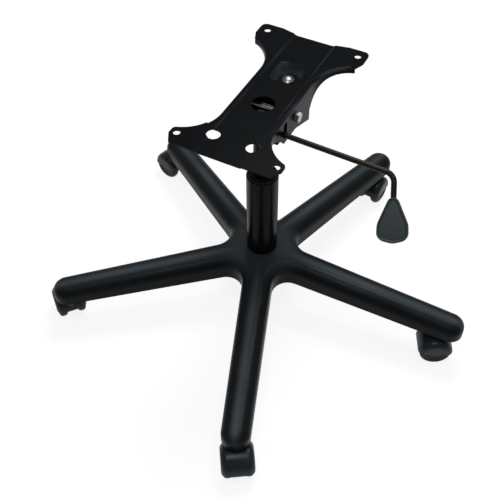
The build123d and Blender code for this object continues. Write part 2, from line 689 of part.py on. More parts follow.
# Side flanges of the seat plate, cut to their own lower outline
with BuildPart() as flanges:
    with BuildSketch(Plane.XY.offset(SEAT_TOP)) as band:
        add(seat_plan())
        offset(amount=-SHEET, kind=Kind.INTERSECTION, mode=Mode.SUBTRACT)
        with Locations((0, (FLANGE_FRONT_END + FLANGE_REAR_END) / 2)):
            Rectangle(2 * EAR_HALF_WIDTH, FLANGE_FRONT_END - FLANGE_REAR_END, mode=Mode.INTERSECT)
    extrude(amount=-FLANGE_DEEP)
    with BuildSketch(Plane.YZ):
        with BuildLine():
            ThreePointArc(
                (FLANGE_FRONT_END, SEAT_TOP - FLANGE_SHALLOW),
                (FLANGE_SCOOP_FORWARD, SEAT_TOP - FLANGE_SCOOP_DROP),
                (FLANGE_DEEP_FRONT, SEAT_TOP - FLANGE_DEEP + FLANGE_TOE),
            )
            Polyline(
                (FLANGE_DEEP_FRONT, SEAT_TOP - FLANGE_DEEP + FLANGE_TOE),
                (FLANGE_DEEP_FRONT, SEAT_TOP - FLANGE_DEEP),
                (FLANGE_MIDDLE_FRONT, SEAT_TOP - FLANGE_MIDDLE),
                (FLANGE_MIDDLE_REAR, SEAT_TOP - FLANGE_MIDDLE),
            )
            ThreePointArc(
                (FLANGE_MIDDLE_REAR, SEAT_TOP - FLANGE_MIDDLE),
                (FLANGE_HEEL_FORWARD, SEAT_TOP - FLANGE_HEEL_DROP),
                (FLANGE_REAR_END, SEAT_TOP - FLANGE_SHALLOW),
            )
            Polyline(
                (FLANGE_REAR_END, SEAT_TOP - FLANGE_SHALLOW),
                (FLANGE_REAR_END, SEAT_TOP),
                (FLANGE_FRONT_END, SEAT_TOP),
                (FLANGE_FRONT_END, SEAT_TOP - FLANGE_SHALLOW),
            )
        make_face()
    extrude(amount=EAR_HALF_WIDTH, both=True, mode=Mode.INTERSECT)


def channel_section(level):
    """Section of the shallow channel pressed along the plate, hung from a level."""
    with BuildSketch(Plane.XZ) as section:
        with BuildLine():
            Polyline(
                (CHANNEL_WIDTH / 2 + CHANNEL_SLOPE, level),
                (CHANNEL_WIDTH / 2, level - CHANNEL_DEPTH),
                (-CHANNEL_WIDTH / 2, level - CHANNEL_DEPTH),
                (-CHANNEL_WIDTH / 2 - CHANNEL_SLOPE, level),
                close=True,
            )
        make_face()
    return section.sketch


# Underside of the channel, as long as the plate
with BuildPart() as channel:
    with BuildSketch(Plane.XY.offset(CHANNEL_UNDERSIDE)):
        add(seat_plan())
    extrude(amount=CHANNEL_DEPTH)
    with BuildSketch(Plane.XZ):
        add(channel_section(SHEET_UNDERSIDE))
    extrude(amount=FRONT_EAR_EDGE, both=True, mode=Mode.INTERSECT)

# Seat plate: pressed steel with bent flanges, a dish for the tension bolt and its holes
with BuildPart() as seat_plate:
    with BuildSketch(Plane.XY.offset(SHEET_UNDERSIDE)):
        add(seat_plan())
    extrude(amount=SHEET)
    add(flanges.part)
    add(bend_corners.part, mode=Mode.SUBTRACT)
    add(channel.part)
    with BuildSketch(Plane.XZ):
        add(channel_section(SEAT_TOP))
    extrude(amount=FRONT_EAR_EDGE, both=True, mode=Mode.SUBTRACT)
    for rim, drop, mode in ((SHEET, SHEET, Mode.ADD), (0, 0, Mode.SUBTRACT)):
        for level, draft in ((SEAT_TOP - drop, 0), (DISH_FLOOR - drop, DISH_DRAFT)):
            with BuildSketch(Plane.XY.offset(level)):
                with Locations((0, TENSION_FORWARD)):
                    RectangleRounded(DISH_WIDTH + rim - draft, DISH_LENGTH + rim - draft, DISH_CORNER)
        loft(mode=mode)
    rim = seat_plate.edges().filter_by_position(Axis.Z, CHANNEL_FLOOR - FIT, CHANNEL_FLOOR + FIT)
    dish_rim = rim.filter_by_position(Axis.X, -DISH_WIDTH / 2, DISH_WIDTH / 2)
    dish_rim = dish_rim.filter_by_position(
        Axis.Y, TENSION_FORWARD - DISH_LENGTH / 2, TENSION_FORWARD + DISH_LENGTH / 2)
    fillet(dish_rim, DISH_ROUND)
    with BuildSketch(Plane.XY.offset(SEAT_TOP)):
        with Locations(*SEAT_HOLE_POINTS):
            Circle(SEAT_HOLE_DIAMETER / 2)
        with Locations((0, LIGHTENING_HOLE_BACK)):
            with GridLocations(LIGHTENING_HOLE_ACROSS, 0, 2, 1):
                Circle(LIGHTENING_HOLE_DIAMETER / 2)
        Circle(ACCESS_HOLE_DIAMETER / 2)
        with Locations((0, TENSION_FORWARD)):
            Circle(TENSION_BOLT_DIAMETER / 2 + RUNNING)
    extrude(amount=-(DISH_DEPTH + 2 * SHEET), mode=Mode.SUBTRACT)
    with BuildSketch(Plane.YZ):
        with Locations((PIVOT_FORWARD, PIVOT_LEVEL)):
            Circle(PIVOT_DIAMETER / 2 + FIT)
    extrude(amount=FLANGE_FACE + ROOMY, both=True, mode=Mode.SUBTRACT)
    with BuildSketch(Plane.YZ.offset(FLANGE_FACE + ROOMY)):
        with Locations((-LEVER_BACK, LEVER_LEVEL + LEVER_SLOT_RISE / 2)):
            SlotCenterToCenter(LEVER_SLOT_RISE, LEVER_SLOT_WIDTH, rotation=90)
    extrude(amount=-(SHEET + 2 * ROOMY), mode=Mode.SUBTRACT)
save(seat_plate, "seat_plate")

# Tilt bracket: a folded channel with a front tongue for the tension bolt
with BuildPart() as tilt_bracket:
    with BuildSketch(Plane.YZ):
        with BuildLine():
            Polyline(
                (BRACKET_REAR, BRACKET_FLOOR),
                (BRACKET_WALL_FRONT, BRACKET_FLOOR),
                (BRACKET_WALL_FRONT, PIVOT_LEVEL),
                (BRACKET_SHOULDER_FRONT, SEAT_TOP - BRACKET_WALL_DROP_FRONT),
                (BRACKET_SHOULDER_REAR, SEAT_TOP - BRACKET_WALL_DROP_FRONT),
                (BRACKET_REAR, SEAT_TOP - BRACKET_WALL_DROP_REAR),
                close=True,
            )
        make_face()
    extrude(amount=WALL_OUTER_FACE, both=True)
    folds = tilt_bracket.edges().filter_by(Axis.Y).group_by(Axis.Z)[0]
    fillet(folds, BRACKET_FOLD)
    with BuildSketch(Plane.YZ):
        with Locations(((BRACKET_REAR + BRACKET_WALL_FRONT) / 2, (BRACKET_FLOOR_TOP + SEAT_TOP) / 2)):
            Rectangle(2 * BRACKET_WALL_FRONT, SEAT_TOP - BRACKET_FLOOR_TOP)
    extrude(amount=WALL_INNER_FACE, both=True, mode=Mode.SUBTRACT)
    with BuildSketch(Plane.XY.offset(BRACKET_FLOOR)):
        with BuildLine():
            Polyline(
                (WALL_INNER_FACE, BRACKET_WALL_FRONT),
                (BRACKET_TONGUE_WIDTH / 2, BRACKET_TONGUE_END),
                (-BRACKET_TONGUE_WIDTH / 2, BRACKET_TONGUE_END),
                (-WALL_INNER_FACE, BRACKET_WALL_FRONT),
                close=True,
            )
        make_face()
    extrude(amount=BRACKET_SHEET)
    with BuildSketch(Plane.XY.offset(BRACKET_FLOOR)):
        with Locations((0, TENSION_FORWARD + (TENSION_SLOT_FORWARD - TENSION_SLOT_BACK) / 2)):
            SlotCenterToCenter(
                TENSION_SLOT_FORWARD + TENSION_SLOT_BACK,
                TENSION_BOLT_DIAMETER + 2 * ROOMY,
                rotation=90,
            )
        Circle(SOCKET_TUBE_DIAMETER / 2 + FIT)
    extrude(amount=BRACKET_SHEET, mode=Mode.SUBTRACT)
    with BuildSketch(Plane.YZ):
        with Locations((PIVOT_FORWARD, PIVOT_LEVEL)):
            Circle(PIVOT_BUSH_DIAMETER / 2 + FIT)
    extrude(amount=WALL_OUTER_FACE + ROOMY, both=True, mode=Mode.SUBTRACT)
    with BuildSketch(Plane.YZ.offset(WALL_INNER_FACE - ROOMY)):
        with Locations((-LEVER_BACK, FULCRUM_LEVEL)):
            Circle(LEVER_BUSH_DIAMETER / 2 + FIT)
    extrude(amount=BRACKET_SHEET + 2 * ROOMY, mode=Mode.SUBTRACT)
save(tilt_bracket, "tilt_bracket")

# Tapered socket tube that the cylinder's nose wedges into
with BuildPart() as taper_socket:
    with BuildSketch(Plane.XZ):
        with BuildLine():
            Polyline(
                (nose_radius(SOCKET_TUBE_FOOT) + FIT, SOCKET_TUBE_FOOT),
                (SOCKET_TUBE_DIAMETER / 2, SOCKET_TUBE_FOOT),
                (SOCKET_TUBE_DIAMETER / 2, SOCKET_TUBE_TOP),
                (nose_radius(SOCKET_TUBE_TOP) + FIT, SOCKET_TUBE_TOP),
                close=True,
            )
        make_face()
    revolve(axis=Axis.Z)
save(taper_socket, "taper_socket")

# Flanged plastic bushes that the pivot axle turns in
with BuildPart() as pivot_bushes:
    for side in (-1, 1):
        for face, diameter, length in (
            (WALL_INNER_FACE, PIVOT_BUSH_DIAMETER, BRACKET_SHEET),
            (WALL_OUTER_FACE, PIVOT_BUSH_FLANGE, BRACKET_GAP - 2 * RUNNING),
        ):
            with BuildSketch(Plane.YZ.offset(side * face)):
                with Locations((PIVOT_FORWARD, PIVOT_LEVEL)):
                    Circle(diameter / 2)
                    Circle(PIVOT_DIAMETER / 2 + RUNNING, mode=Mode.SUBTRACT)
            extrude(amount=side * length)
save(pivot_bushes, "pivot_bushes")

# Pivot axle: a hexagon-head bolt through both flanges
with BuildPart() as pivot_axle:
    with BuildSketch(Plane.YZ.offset(FLANGE_FACE)):
        with Locations((PIVOT_FORWARD, PIVOT_LEVEL)):
            RegularPolygon(PIVOT_HEX / 2, 6, major_radius=False)
    extrude(amount=PIVOT_HEX_HEIGHT)
    with BuildSketch(Plane.YZ.offset(FLANGE_FACE)):
        with Locations((PIVOT_FORWARD, PIVOT_LEVEL)):
            Circle(PIVOT_DIAMETER / 2)
    extrude(amount=-(WAIST_WIDTH + PIVOT_HEX_HEIGHT + PIVOT_THREAD_END))
save(pivot_axle, "pivot_axle")

with BuildPart() as pivot_nut:
    with BuildSketch(Plane.YZ.offset(-FLANGE_FACE)):
        with Locations((PIVOT_FORWARD, PIVOT_LEVEL)):
            RegularPolygon(PIVOT_HEX / 2, 6, major_radius=False)
            Circle(PIVOT_DIAMETER / 2 + FIT, mode=Mode.SUBTRACT)
    extrude(amount=-PIVOT_HEX_HEIGHT)
save(pivot_nut, "pivot_nut")

# Rubber bumpers that the seat plate rests on when it is level
with BuildPart() as tilt_bumpers:
    with BuildSketch(Plane.XY.offset(BRACKET_FLOOR_TOP)):
        with Locations((0, STOP_FORWARD)):
            with GridLocations(STOP_ACROSS, 0, 2, 1):
                Circle(STOP_DIAMETER / 2)
    extrude(amount=CHANNEL_UNDERSIDE - STOP_SQUEEZE_GAP - BRACKET_FLOOR_TOP)
    chamfer(tilt_bumpers.faces().group_by(Axis.Z)[-1].edges(), STOP_DIAMETER / 7)
save(tilt_bumpers, "tilt_bumpers")

# Tension bolt: a domed head in the plate's dish and a long shank to the knob
tension_axis = Axis((0, TENSION_FORWARD, 0), (0, 0, 1))
tension_plane = Plane((0, TENSION_FORWARD, 0), x_dir=(1, 0, 0), z_dir=(0, -1, 0))
with BuildPart() as tension_bolt:
    with BuildSketch(tension_plane):
        with BuildLine():
            Polyline(
                (0, DISH_FLOOR + TENSION_HEAD_HEIGHT),
                (0, KNOB_FOOT + KNOB_COVER + LOOSE),
                (TENSION_BOLT_DIAMETER / 2, KNOB_FOOT + KNOB_COVER + LOOSE),
                (TENSION_BOLT_DIAMETER / 2, DISH_FLOOR),
                (TENSION_HEAD_DIAMETER / 2, DISH_FLOOR),
                (TENSION_HEAD_DIAMETER / 2, DISH_FLOOR + TENSION_HEAD_EDGE),
            )
            ThreePointArc(
                (TENSION_HEAD_DIAMETER / 2, DISH_FLOOR + TENSION_HEAD_EDGE),
                (TENSION_HEAD_DIAMETER / 4, dome_height(TENSION_HEAD_DIAMETER / 4)),
                (0, DISH_FLOOR + TENSION_HEAD_HEIGHT),
            )
        make_face()
    revolve(axis=tension_axis)
save(tension_bolt, "tension_bolt")

# Rubber tension spring under the tongue, waisted so that it can bulge
with BuildPart() as tension_spring:
    with BuildSketch(tension_plane):
        with BuildLine():
            Polyline(
                (TENSION_BOLT_DIAMETER / 2 + ROOMY, SPRING_FOOT),
                (TENSION_SPRING_DIAMETER / 2, SPRING_FOOT),
                (TENSION_SPRING_WAIST / 2, SPRING_FOOT + TENSION_SPRING_LENGTH / 2),
                (TENSION_SPRING_DIAMETER / 2, BRACKET_FLOOR),
                (TENSION_BOLT_DIAMETER / 2 + ROOMY, BRACKET_FLOOR),
                close=True,
            )
        make_face()
    revolve(axis=tension_axis)
save(tension_spring, "tension_spring")

with BuildPart() as spring_cap:
    with BuildSketch(Plane.XY.offset(CAP_FOOT)):
        with Locations((0, TENSION_FORWARD)):
            Circle(TENSION_SPRING_DIAMETER / 2)
            Circle(TENSION_BOLT_DIAMETER / 2 + FIT, mode=Mode.SUBTRACT)
    extrude(amount=TENSION_CAP_THICKNESS)
save(spring_cap, "spring_cap")

# Lobed knob on the bolt's end that sets the tension
with BuildPart() as tension_knob:
    with BuildSketch(Plane.XY.offset(KNOB_FOOT)):
        with Locations((0, TENSION_FORWARD)):
            Circle((KNOB_DIAMETER - KNOB_LOBE_DIAMETER / 2) / 2)
            with PolarLocations((KNOB_DIAMETER - KNOB_LOBE_DIAMETER) / 2, KNOB_LOBES):
                Circle(KNOB_LOBE_DIAMETER / 2)
    extrude(amount=KNOB_HEIGHT - RUNNING)
    with BuildSketch(Plane.XY.offset(CAP_FOOT)):
        with Locations((0, TENSION_FORWARD)):
            Circle(TENSION_BOLT_DIAMETER / 2 + RUNNING)
    extrude(amount=KNOB_COVER - KNOB_HEIGHT, mode=Mode.SUBTRACT)
save(tension_knob, "tension_knob")

# Release lever: a bent rod over the valve pin, with a paddle beside the seat
knee = Vector(LEVER_KNEE_OUT, -LEVER_BACK, LEVER_LEVEL - LEVER_KNEE_FALL)
tail_way = Vector(
    cos(radians(LEVER_KNEE_TURN)),
    -sin(radians(LEVER_KNEE_TURN)) * cos(radians(LEVER_DROOP)),
    -sin(radians(LEVER_KNEE_TURN)) * sin(radians(LEVER_DROOP)),
)
with BuildPart() as lever_rod:
    with BuildLine() as lever_path:
        FilletPolyline(
            (LEVER_INNER_END, 0, LEVER_INNER_LEVEL),
            (LEVER_INNER_BEND, 0, LEVER_INNER_LEVEL),
            (LEVER_OUTER_BEND, -LEVER_BACK, LEVER_LEVEL),
            knee,
            knee + tail_way * LEVER_TAIL,
            radius=[LEVER_BEND_RADIUS, LEVER_BEND_RADIUS, LEVER_KNEE_RADIUS],
        )
    with BuildSketch(Plane((LEVER_INNER_END, 0, LEVER_INNER_LEVEL), z_dir=(1, 0, 0))):
        Circle(LEVER_DIAMETER / 2)
    sweep(path=lever_path.wire())
save(lever_rod, "lever_rod")

face_up = tail_way.cross(Vector(1, 0, 0)).normalized()
handle_plane = Plane(knee + tail_way * HANDLE_START, x_dir=tail_way.cross(face_up), z_dir=face_up)
corner_x = HANDLE_WIDTH / 2 - HANDLE_CORNER_RADIUS
corner_y = HANDLE_LENGTH - HANDLE_CORNER_RADIUS - HANDLE_CROWN
with BuildPart() as lever_handle:
    with BuildSketch(handle_plane):
        with Locations((0, HANDLE_NECK_RADIUS)):
            Circle(HANDLE_NECK_RADIUS)
        with Locations((-corner_x, corner_y), (corner_x, corner_y)):
            Circle(HANDLE_CORNER_RADIUS)
        with Locations((0, HANDLE_BELLY_DOWN)):
            Circle(HANDLE_BELLY_RADIUS)
        make_hull()
    extrude(amount=HANDLE_THICKNESS / 2, both=True)
    faces = lever_handle.faces().filter_by(GeomType.PLANE).sort_by(SortBy.AREA)[-2:]
    fillet(faces.edges(), HANDLE_ROUND)
    with BuildSketch(Plane(knee + tail_way * HANDLE_START, z_dir=tail_way)):
        Circle(LEVER_DIAMETER / 2 + FIT)
    extrude(amount=LEVER_TAIL - HANDLE_START + LOOSE, mode=Mode.SUBTRACT)
save(lever_handle, "lever_handle")

# Bush in the bracket's side wall, waisted so that the rod can rock in it
bush_start = WALL_INNER_FACE - LEVER_BUSH_RIM
bush_mouth = LEVER_DIAMETER / 2 + RUNNING + (WALL_OUTER_FACE - bush_start) * tan(radians(LEVER_SWING))
with BuildPart() as lever_bush:
    with BuildSketch(Plane((0, -LEVER_BACK, FULCRUM_LEVEL), x_dir=(1, 0, 0), z_dir=(0, -1, 0))):
        with BuildLine():
            Polyline(
                (bush_start, bush_mouth),
                (bush_start, LEVER_BUSH_FLANGE / 2),
                (WALL_INNER_FACE, LEVER_BUSH_FLANGE / 2),
                (WALL_INNER_FACE, LEVER_BUSH_DIAMETER / 2),
                (WALL_OUTER_FACE, LEVER_BUSH_DIAMETER / 2),
                (WALL_OUTER_FACE, bush_mouth),
                (FULCRUM_OUT, LEVER_DIAMETER / 2 + RUNNING),
                close=True,
            )
        make_face()
    revolve(axis=Axis((0, -LEVER_BACK, FULCRUM_LEVEL), (1, 0, 0)))
save(lever_bush, "lever_bush")
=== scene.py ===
# %% [markdown]
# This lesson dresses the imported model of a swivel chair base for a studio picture.
# The solids come in already placed, in metres, with Z up and the origin on the floor
# under the column. They stay where they are. What the lesson adds is finishes, a few
# finer pieces, light, a floor and a camera.

# %% Load the frame
import json
from math import atan2, cos, pi, radians, sin

import bmesh
import bpy
from mathutils import Matrix, Vector


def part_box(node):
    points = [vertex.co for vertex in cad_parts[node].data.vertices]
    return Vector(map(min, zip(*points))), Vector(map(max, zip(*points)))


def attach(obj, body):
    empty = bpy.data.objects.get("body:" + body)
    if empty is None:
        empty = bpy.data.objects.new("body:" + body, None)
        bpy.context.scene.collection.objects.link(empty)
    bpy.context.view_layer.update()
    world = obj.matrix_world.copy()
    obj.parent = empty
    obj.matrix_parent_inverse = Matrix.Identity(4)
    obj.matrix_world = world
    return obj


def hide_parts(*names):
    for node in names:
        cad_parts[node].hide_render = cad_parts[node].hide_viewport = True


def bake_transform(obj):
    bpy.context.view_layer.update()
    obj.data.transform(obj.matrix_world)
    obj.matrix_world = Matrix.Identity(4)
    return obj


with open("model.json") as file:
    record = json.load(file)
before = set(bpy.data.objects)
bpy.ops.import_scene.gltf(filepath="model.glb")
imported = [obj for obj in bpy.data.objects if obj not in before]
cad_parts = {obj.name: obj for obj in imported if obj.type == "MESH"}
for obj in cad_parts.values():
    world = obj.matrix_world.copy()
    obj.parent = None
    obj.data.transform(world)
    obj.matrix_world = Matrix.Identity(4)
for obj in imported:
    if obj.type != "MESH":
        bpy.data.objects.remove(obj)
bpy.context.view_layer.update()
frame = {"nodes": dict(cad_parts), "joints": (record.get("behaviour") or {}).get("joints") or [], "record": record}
nodes = frame["nodes"]
joints = {joint["name"]: joint for joint in frame["joints"]}
slots = {part["node"]: part["material_slot"] for part in frame["record"]["subparts"]}

# %% [markdown]
# Moulded nylon isn't smooth: the mould is etched, so that the surface breaks a reflection
# into a soft sheen. One shader group makes that grain for every plastic piece. It could be
# copied into each material, but a group is built once and each material sets its own sizes.
# A second, slower noise gives a mottle that moves the roughness a little from place to place.

# %% Shader group: moulded grain
def add_node(tree, kind, **settings):
    """Add one node to a tree and set its plain properties."""
    node = tree.nodes.new(kind)
    for key, value in settings.items():
        setattr(node, key, value)
    return node


def feed(tree, socket, value):
    """Link a socket to another node's output, or give it a plain value."""
    if isinstance(value, bpy.types.NodeSocket):
        tree.links.new(value, socket)
    else:
        socket.default_value = value


def new_group(name, inputs, outputs):
    """Start a shader group; return it with its named inputs and outputs, all single numbers."""
    group = bpy.data.node_groups.new(name, "ShaderNodeTree")
    for label, value in inputs.items():
        socket = group.interface.new_socket(label, in_out="INPUT", socket_type="NodeSocketFloat")
        socket.default_value = value
    for label in outputs:
        group.interface.new_socket(label, in_out="OUTPUT", socket_type="NodeSocketFloat")
    return group, add_node(group, "NodeGroupInput").outputs, add_node(group, "NodeGroupOutput").inputs


def own_place(tree):
    """Where a point lies on its piece, which stays the same when the piece moves."""
    return add_node(tree, "ShaderNodeTexCoord").outputs["Object"]


def noise_on(tree, place, scale, detail):
    """Noise at a place, with its scale given as a number or a socket."""
    noise = add_node(tree, "ShaderNodeTexNoise")
    feed(tree, noise.inputs["Vector"], place)
    feed(tree, noise.inputs["Scale"], scale)
    feed(tree, noise.inputs["Detail"], detail)
    return noise.outputs["Fac"]


grain, grain_in, grain_out = new_group(
    "moulded_grain", {"Grain Scale": 900.0, "Mottle Scale": 18.0}, ("Height", "Mottle"))
grain_place = own_place(grain)
feed(grain, grain_out["Height"], noise_on(grain, grain_place, grain_in["Grain Scale"], detail=3.0))
feed(grain, grain_out["Mottle"], noise_on(grain, grain_place, grain_in["Mottle Scale"], detail=4.0))
print("made group", grain.name)

# %% [markdown]
# Sprayed paint dries with a slight orange peel, and handling leaves hairline scuffs. The peel
# is a wide soft noise. The scuffs are a noise stretched along one axis, cut off so that only
# its peaks stay, which is cheaper than drawing scratches and never repeats. A slow cloud lets the
# sheen wander over a flat plate, as it does where the spray lay thicker.

# %% Shader group: paint skin
SCUFF_STRETCH = (40.0, 420.0, 420.0)
SCUFF_TURN = (0.0, 0.0, radians(32))
SCUFF_FULL = 0.82


def fade(tree, value, start, end):
    """A soft mask that goes from 0 at the start to 1 at the end."""
    node = add_node(tree, "ShaderNodeMapRange", interpolation_type="SMOOTHSTEP")
    feed(tree, node.inputs["Value"], value)
    feed(tree, node.inputs["From Min"], start)
    feed(tree, node.inputs["From Max"], end)
    return node.outputs["Result"]


skin, skin_in, skin_out = new_group(
    "paint_skin", {"Peel Scale": 260.0, "Scuff Start": 0.64, "Cloud Scale": 16.0},
    ("Height", "Scuff", "Cloud"))
skin_place = own_place(skin)
stretch = add_node(skin, "ShaderNodeMapping")
feed(skin, stretch.inputs["Scale"], SCUFF_STRETCH)
feed(skin, stretch.inputs["Rotation"], SCUFF_TURN)
feed(skin, stretch.inputs["Vector"], skin_place)
hairs = noise_on(skin, stretch.outputs["Vector"], scale=1.0, detail=2.0)
feed(skin, skin_out["Height"], noise_on(skin, skin_place, skin_in["Peel Scale"], detail=1.0))
feed(skin, skin_out["Scuff"], fade(skin, hairs, skin_in["Scuff Start"], SCUFF_FULL))
feed(skin, skin_out["Cloud"], noise_on(skin, skin_place, skin_in["Cloud Scale"], detail=3.0))
print("made group", skin.name)

# %% [markdown]
# A black base gathers a little pale dust where it faces up. The same paler tone is also a painted
# sheen: the tops are made lighter because the light falls on them from above. The mask reads the
# surface's own direction, so it stays on the part from every side, and a noise breaks it up.

# %% Shader group: dust and painted sheen
DUST_SHEEN_STARTS = 0.45
DUST_SHEEN_FULL = 1.0


def maths(tree, operation, *values):
    """One arithmetic node; each value is a number or a socket."""
    node = add_node(tree, "ShaderNodeMath", operation=operation)
    for socket, value in zip(node.inputs, values):
        feed(tree, socket, value)
    return node.outputs["Value"]


def split(tree, vector):
    """The X, Y and Z of a vector, by name."""
    node = add_node(tree, "ShaderNodeSeparateXYZ")
    feed(tree, node.inputs["Vector"], vector)
    return node.outputs


def facing(tree):
    """The direction that the surface faces."""
    return add_node(tree, "ShaderNodeNewGeometry").outputs["Normal"]


dust_sheen, dust_sheen_in, dust_sheen_out = new_group("dust_and_painted_sheen", {"Patch Scale": 60.0}, ("Dust Sheen",))
# Up-facing surfaces are made paler: dust, and also a painted sheen for the light from above.
level_parts_sheen = fade(dust_sheen, split(dust_sheen, facing(dust_sheen))["Z"], DUST_SHEEN_STARTS, DUST_SHEEN_FULL)
patches = noise_on(dust_sheen, own_place(dust_sheen), dust_sheen_in["Patch Scale"], detail=5.0)
feed(dust_sheen, dust_sheen_out["Dust Sheen"], maths(dust_sheen, "MULTIPLY", level_parts_sheen, patches))
print("made group", dust_sheen.name)

# %% [markdown]
# A paler band runs along each crown and over the hub. It is partly wear, where feet rest on the
# arms and rub them, and partly a painted highlight for the soft top light along the ridges and on
# the hub. The band could be drawn as an image, but it follows a rule: the arms stand a fifth of a
# turn apart, so the angle round the column is wrapped to one arm, and what counts is how far a point
# lies from that arm's middle line, or from the column. The first arm's own angle is read from the
# caster at its end.

# %% Shader group: crown wear and painted highlight
first_stem = Vector(joints["caster_1_swivel"]["pos_m"])
FIRST_ARM = atan2(first_stem.y, first_stem.x)
HALF_STEP = pi / 5
HUB_FULL = 0.030
CROWN_STREAKS = (0.35, 1.25)


def span(tree, value, low, high):
    """Turn a mask of 0 to 1 into numbers between two limits."""
    node = add_node(tree, "ShaderNodeMapRange")
    feed(tree, node.inputs["Value"], value)
    feed(tree, node.inputs["To Min"], low)
    feed(tree, node.inputs["To Max"], high)
    return node.outputs["Result"]


crown_highlight, crown_highlight_in, crown_highlight_out = new_group(
    "crown_wear_and_painted_highlight", {"Half Width": 0.012, "Hub Radius": 0.088, "Streak Scale": 9.0}, ("Crown Highlight",))
crown_place = own_place(crown_highlight)
crown_axes = split(crown_highlight, crown_place)
crown_angle = maths(crown_highlight, "ARCTAN2", crown_axes["Y"], crown_axes["X"])
from_arm = maths(crown_highlight, "WRAP", maths(crown_highlight, "SUBTRACT", crown_angle, FIRST_ARM), HALF_STEP, -HALF_STEP)
x_square = maths(crown_highlight, "MULTIPLY", crown_axes["X"], crown_axes["X"])
y_square = maths(crown_highlight, "MULTIPLY", crown_axes["Y"], crown_axes["Y"])
from_axis = maths(crown_highlight, "SQRT", maths(crown_highlight, "ADD", x_square, y_square))
sideways = maths(crown_highlight, "MULTIPLY", from_axis, maths(crown_highlight, "SINE", from_arm))
near_middle = fade(crown_highlight, maths(crown_highlight, "ABSOLUTE", sideways), crown_highlight_in["Half Width"], 0.0)
near_hub = fade(crown_highlight, from_axis, crown_highlight_in["Hub Radius"], HUB_FULL)
crown_noise = noise_on(crown_highlight, crown_place, crown_highlight_in["Streak Scale"], detail=4.0)
crown_streaks = span(crown_highlight, crown_noise, *CROWN_STREAKS)
# The band and the hub are a painted highlight as well as wear.
rubbed_highlight = maths(crown_highlight, "MULTIPLY", maths(crown_highlight, "MAXIMUM", near_middle, near_hub), crown_streaks)
up_facing = maths(crown_highlight, "MAXIMUM", split(crown_highlight, facing(crown_highlight))["Z"], 0.0)
feed(crown_highlight, crown_highlight_out["Crown Highlight"], maths(crown_highlight, "MULTIPLY", rubbed_highlight, up_facing))
print("made group", crown_highlight.name)

# %% [markdown]
# The paint is paler where the sheet is bent, round the dish and along the flanges. That is partly
# polish from handling and partly a painted highlight for the light that the bends catch. A bend is
# found by its slope: the normal is turned into the piece's own axes, so that a tilted seat keeps its
# marks, and the mask is strongest half-way between level and upright. The two shares multiply to a
# quarter there, so the product is brought back to 1.

# %% Shader group: bend polish and painted highlight
QUARTER_TO_ONE = 4.0
BEND_STREAKS = (-1.1, 2.6)
bend_highlight, bend_highlight_in, bend_highlight_out = new_group("bend_polish_and_painted_highlight", {"Streak Scale": 26.0}, ("Bend Highlight",))
own_normal = add_node(
    bend_highlight, "ShaderNodeVectorTransform", vector_type="NORMAL", convert_from="WORLD", convert_to="OBJECT")
feed(bend_highlight, own_normal.inputs["Vector"], facing(bend_highlight))
level_share = maths(bend_highlight, "MAXIMUM", split(bend_highlight, own_normal.outputs["Vector"])["Z"], 0.0)
upright_share = maths(bend_highlight, "SUBTRACT", 1.0, level_share)
# Bends get a painted highlight here, as well as polish.
bend_highlight_share = maths(bend_highlight, "MULTIPLY", maths(bend_highlight, "MULTIPLY", level_share, upright_share), QUARTER_TO_ONE)
bend_noise = noise_on(bend_highlight, own_place(bend_highlight), bend_highlight_in["Streak Scale"], detail=3.0)
bend_streaks = span(bend_highlight, bend_noise, *BEND_STREAKS)
feed(bend_highlight, bend_highlight_out["Bend Highlight"], maths(bend_highlight, "MULTIPLY", bend_highlight_share, bend_streaks))
print("made group", bend_highlight.name)

# %% [markdown]
# Each finish is one Principled shader. What is the same all over, such as how metallic it is,
# is set on the shader's own socket. What changes over the surface comes from the groups: a
# colour, a roughness and a bump. A Mix node has sockets of several kinds under the same names,
# so its colours are reached by number.

# %% Finish helpers
FIRST_COLOUR = 6
SECOND_COLOUR = 7
MIXED_COLOUR = 2
WHITE = (1.0, 1.0, 1.0)


def group_in(tree, group, **values):
    """Place a shader group in a material with its own values; return its outputs."""
    node = add_node(tree, "ShaderNodeGroup", node_tree=group)
    for key, value in values.items():
        node.inputs[key.replace("_", " ").title()].default_value = value
    return node.outputs


def blend_colour(tree, mask, clean, marked):
    """Mix two colours by a mask; the first may come from another node."""
    node = add_node(tree, "ShaderNodeMix", data_type="RGBA")
    first = (*clean, 1.0) if isinstance(clean, tuple) else clean
    feed(tree, node.inputs["Factor"], mask)
    feed(tree, node.inputs[FIRST_COLOUR], first)
    feed(tree, node.inputs[SECOND_COLOUR], (*marked, 1.0))
    return node.outputs[MIXED_COLOUR]


def start_finish(name, metallic=0.0, specular=0.5, tint=WHITE):
    """A new material with its constant values on the shader."""
    material = bpy.data.materials.new(name)
    material.use_nodes = True
    shader = material.node_tree.nodes["Principled BSDF"]
    shader.inputs["Metallic"].default_value = metallic
    shader.inputs["Specular IOR Level"].default_value = specular
    shader.inputs["Specular Tint"].default_value = (*tint, 1.0)
    return material, material.node_tree, shader


def add_surface(tree, shader, colour, roughness, height, strength, depth):
    """Feed the shader what changes over the surface: colour, roughness and a bump."""
    bump = add_node(tree, "ShaderNodeBump")
    feed(tree, bump.inputs["Strength"], strength)
    feed(tree, bump.inputs["Distance"], depth)
    feed(tree, bump.inputs["Height"], height)
    feed(tree, shader.inputs["Normal"], bump.outputs["Normal"])
    feed(tree, shader.inputs["Base Color"], colour)
    feed(tree, shader.inputs["Roughness"], roughness)


print("groups to dress with:", ", ".join(group.name for group in (grain, skin, dust_sheen, crown_highlight, bend_highlight)))

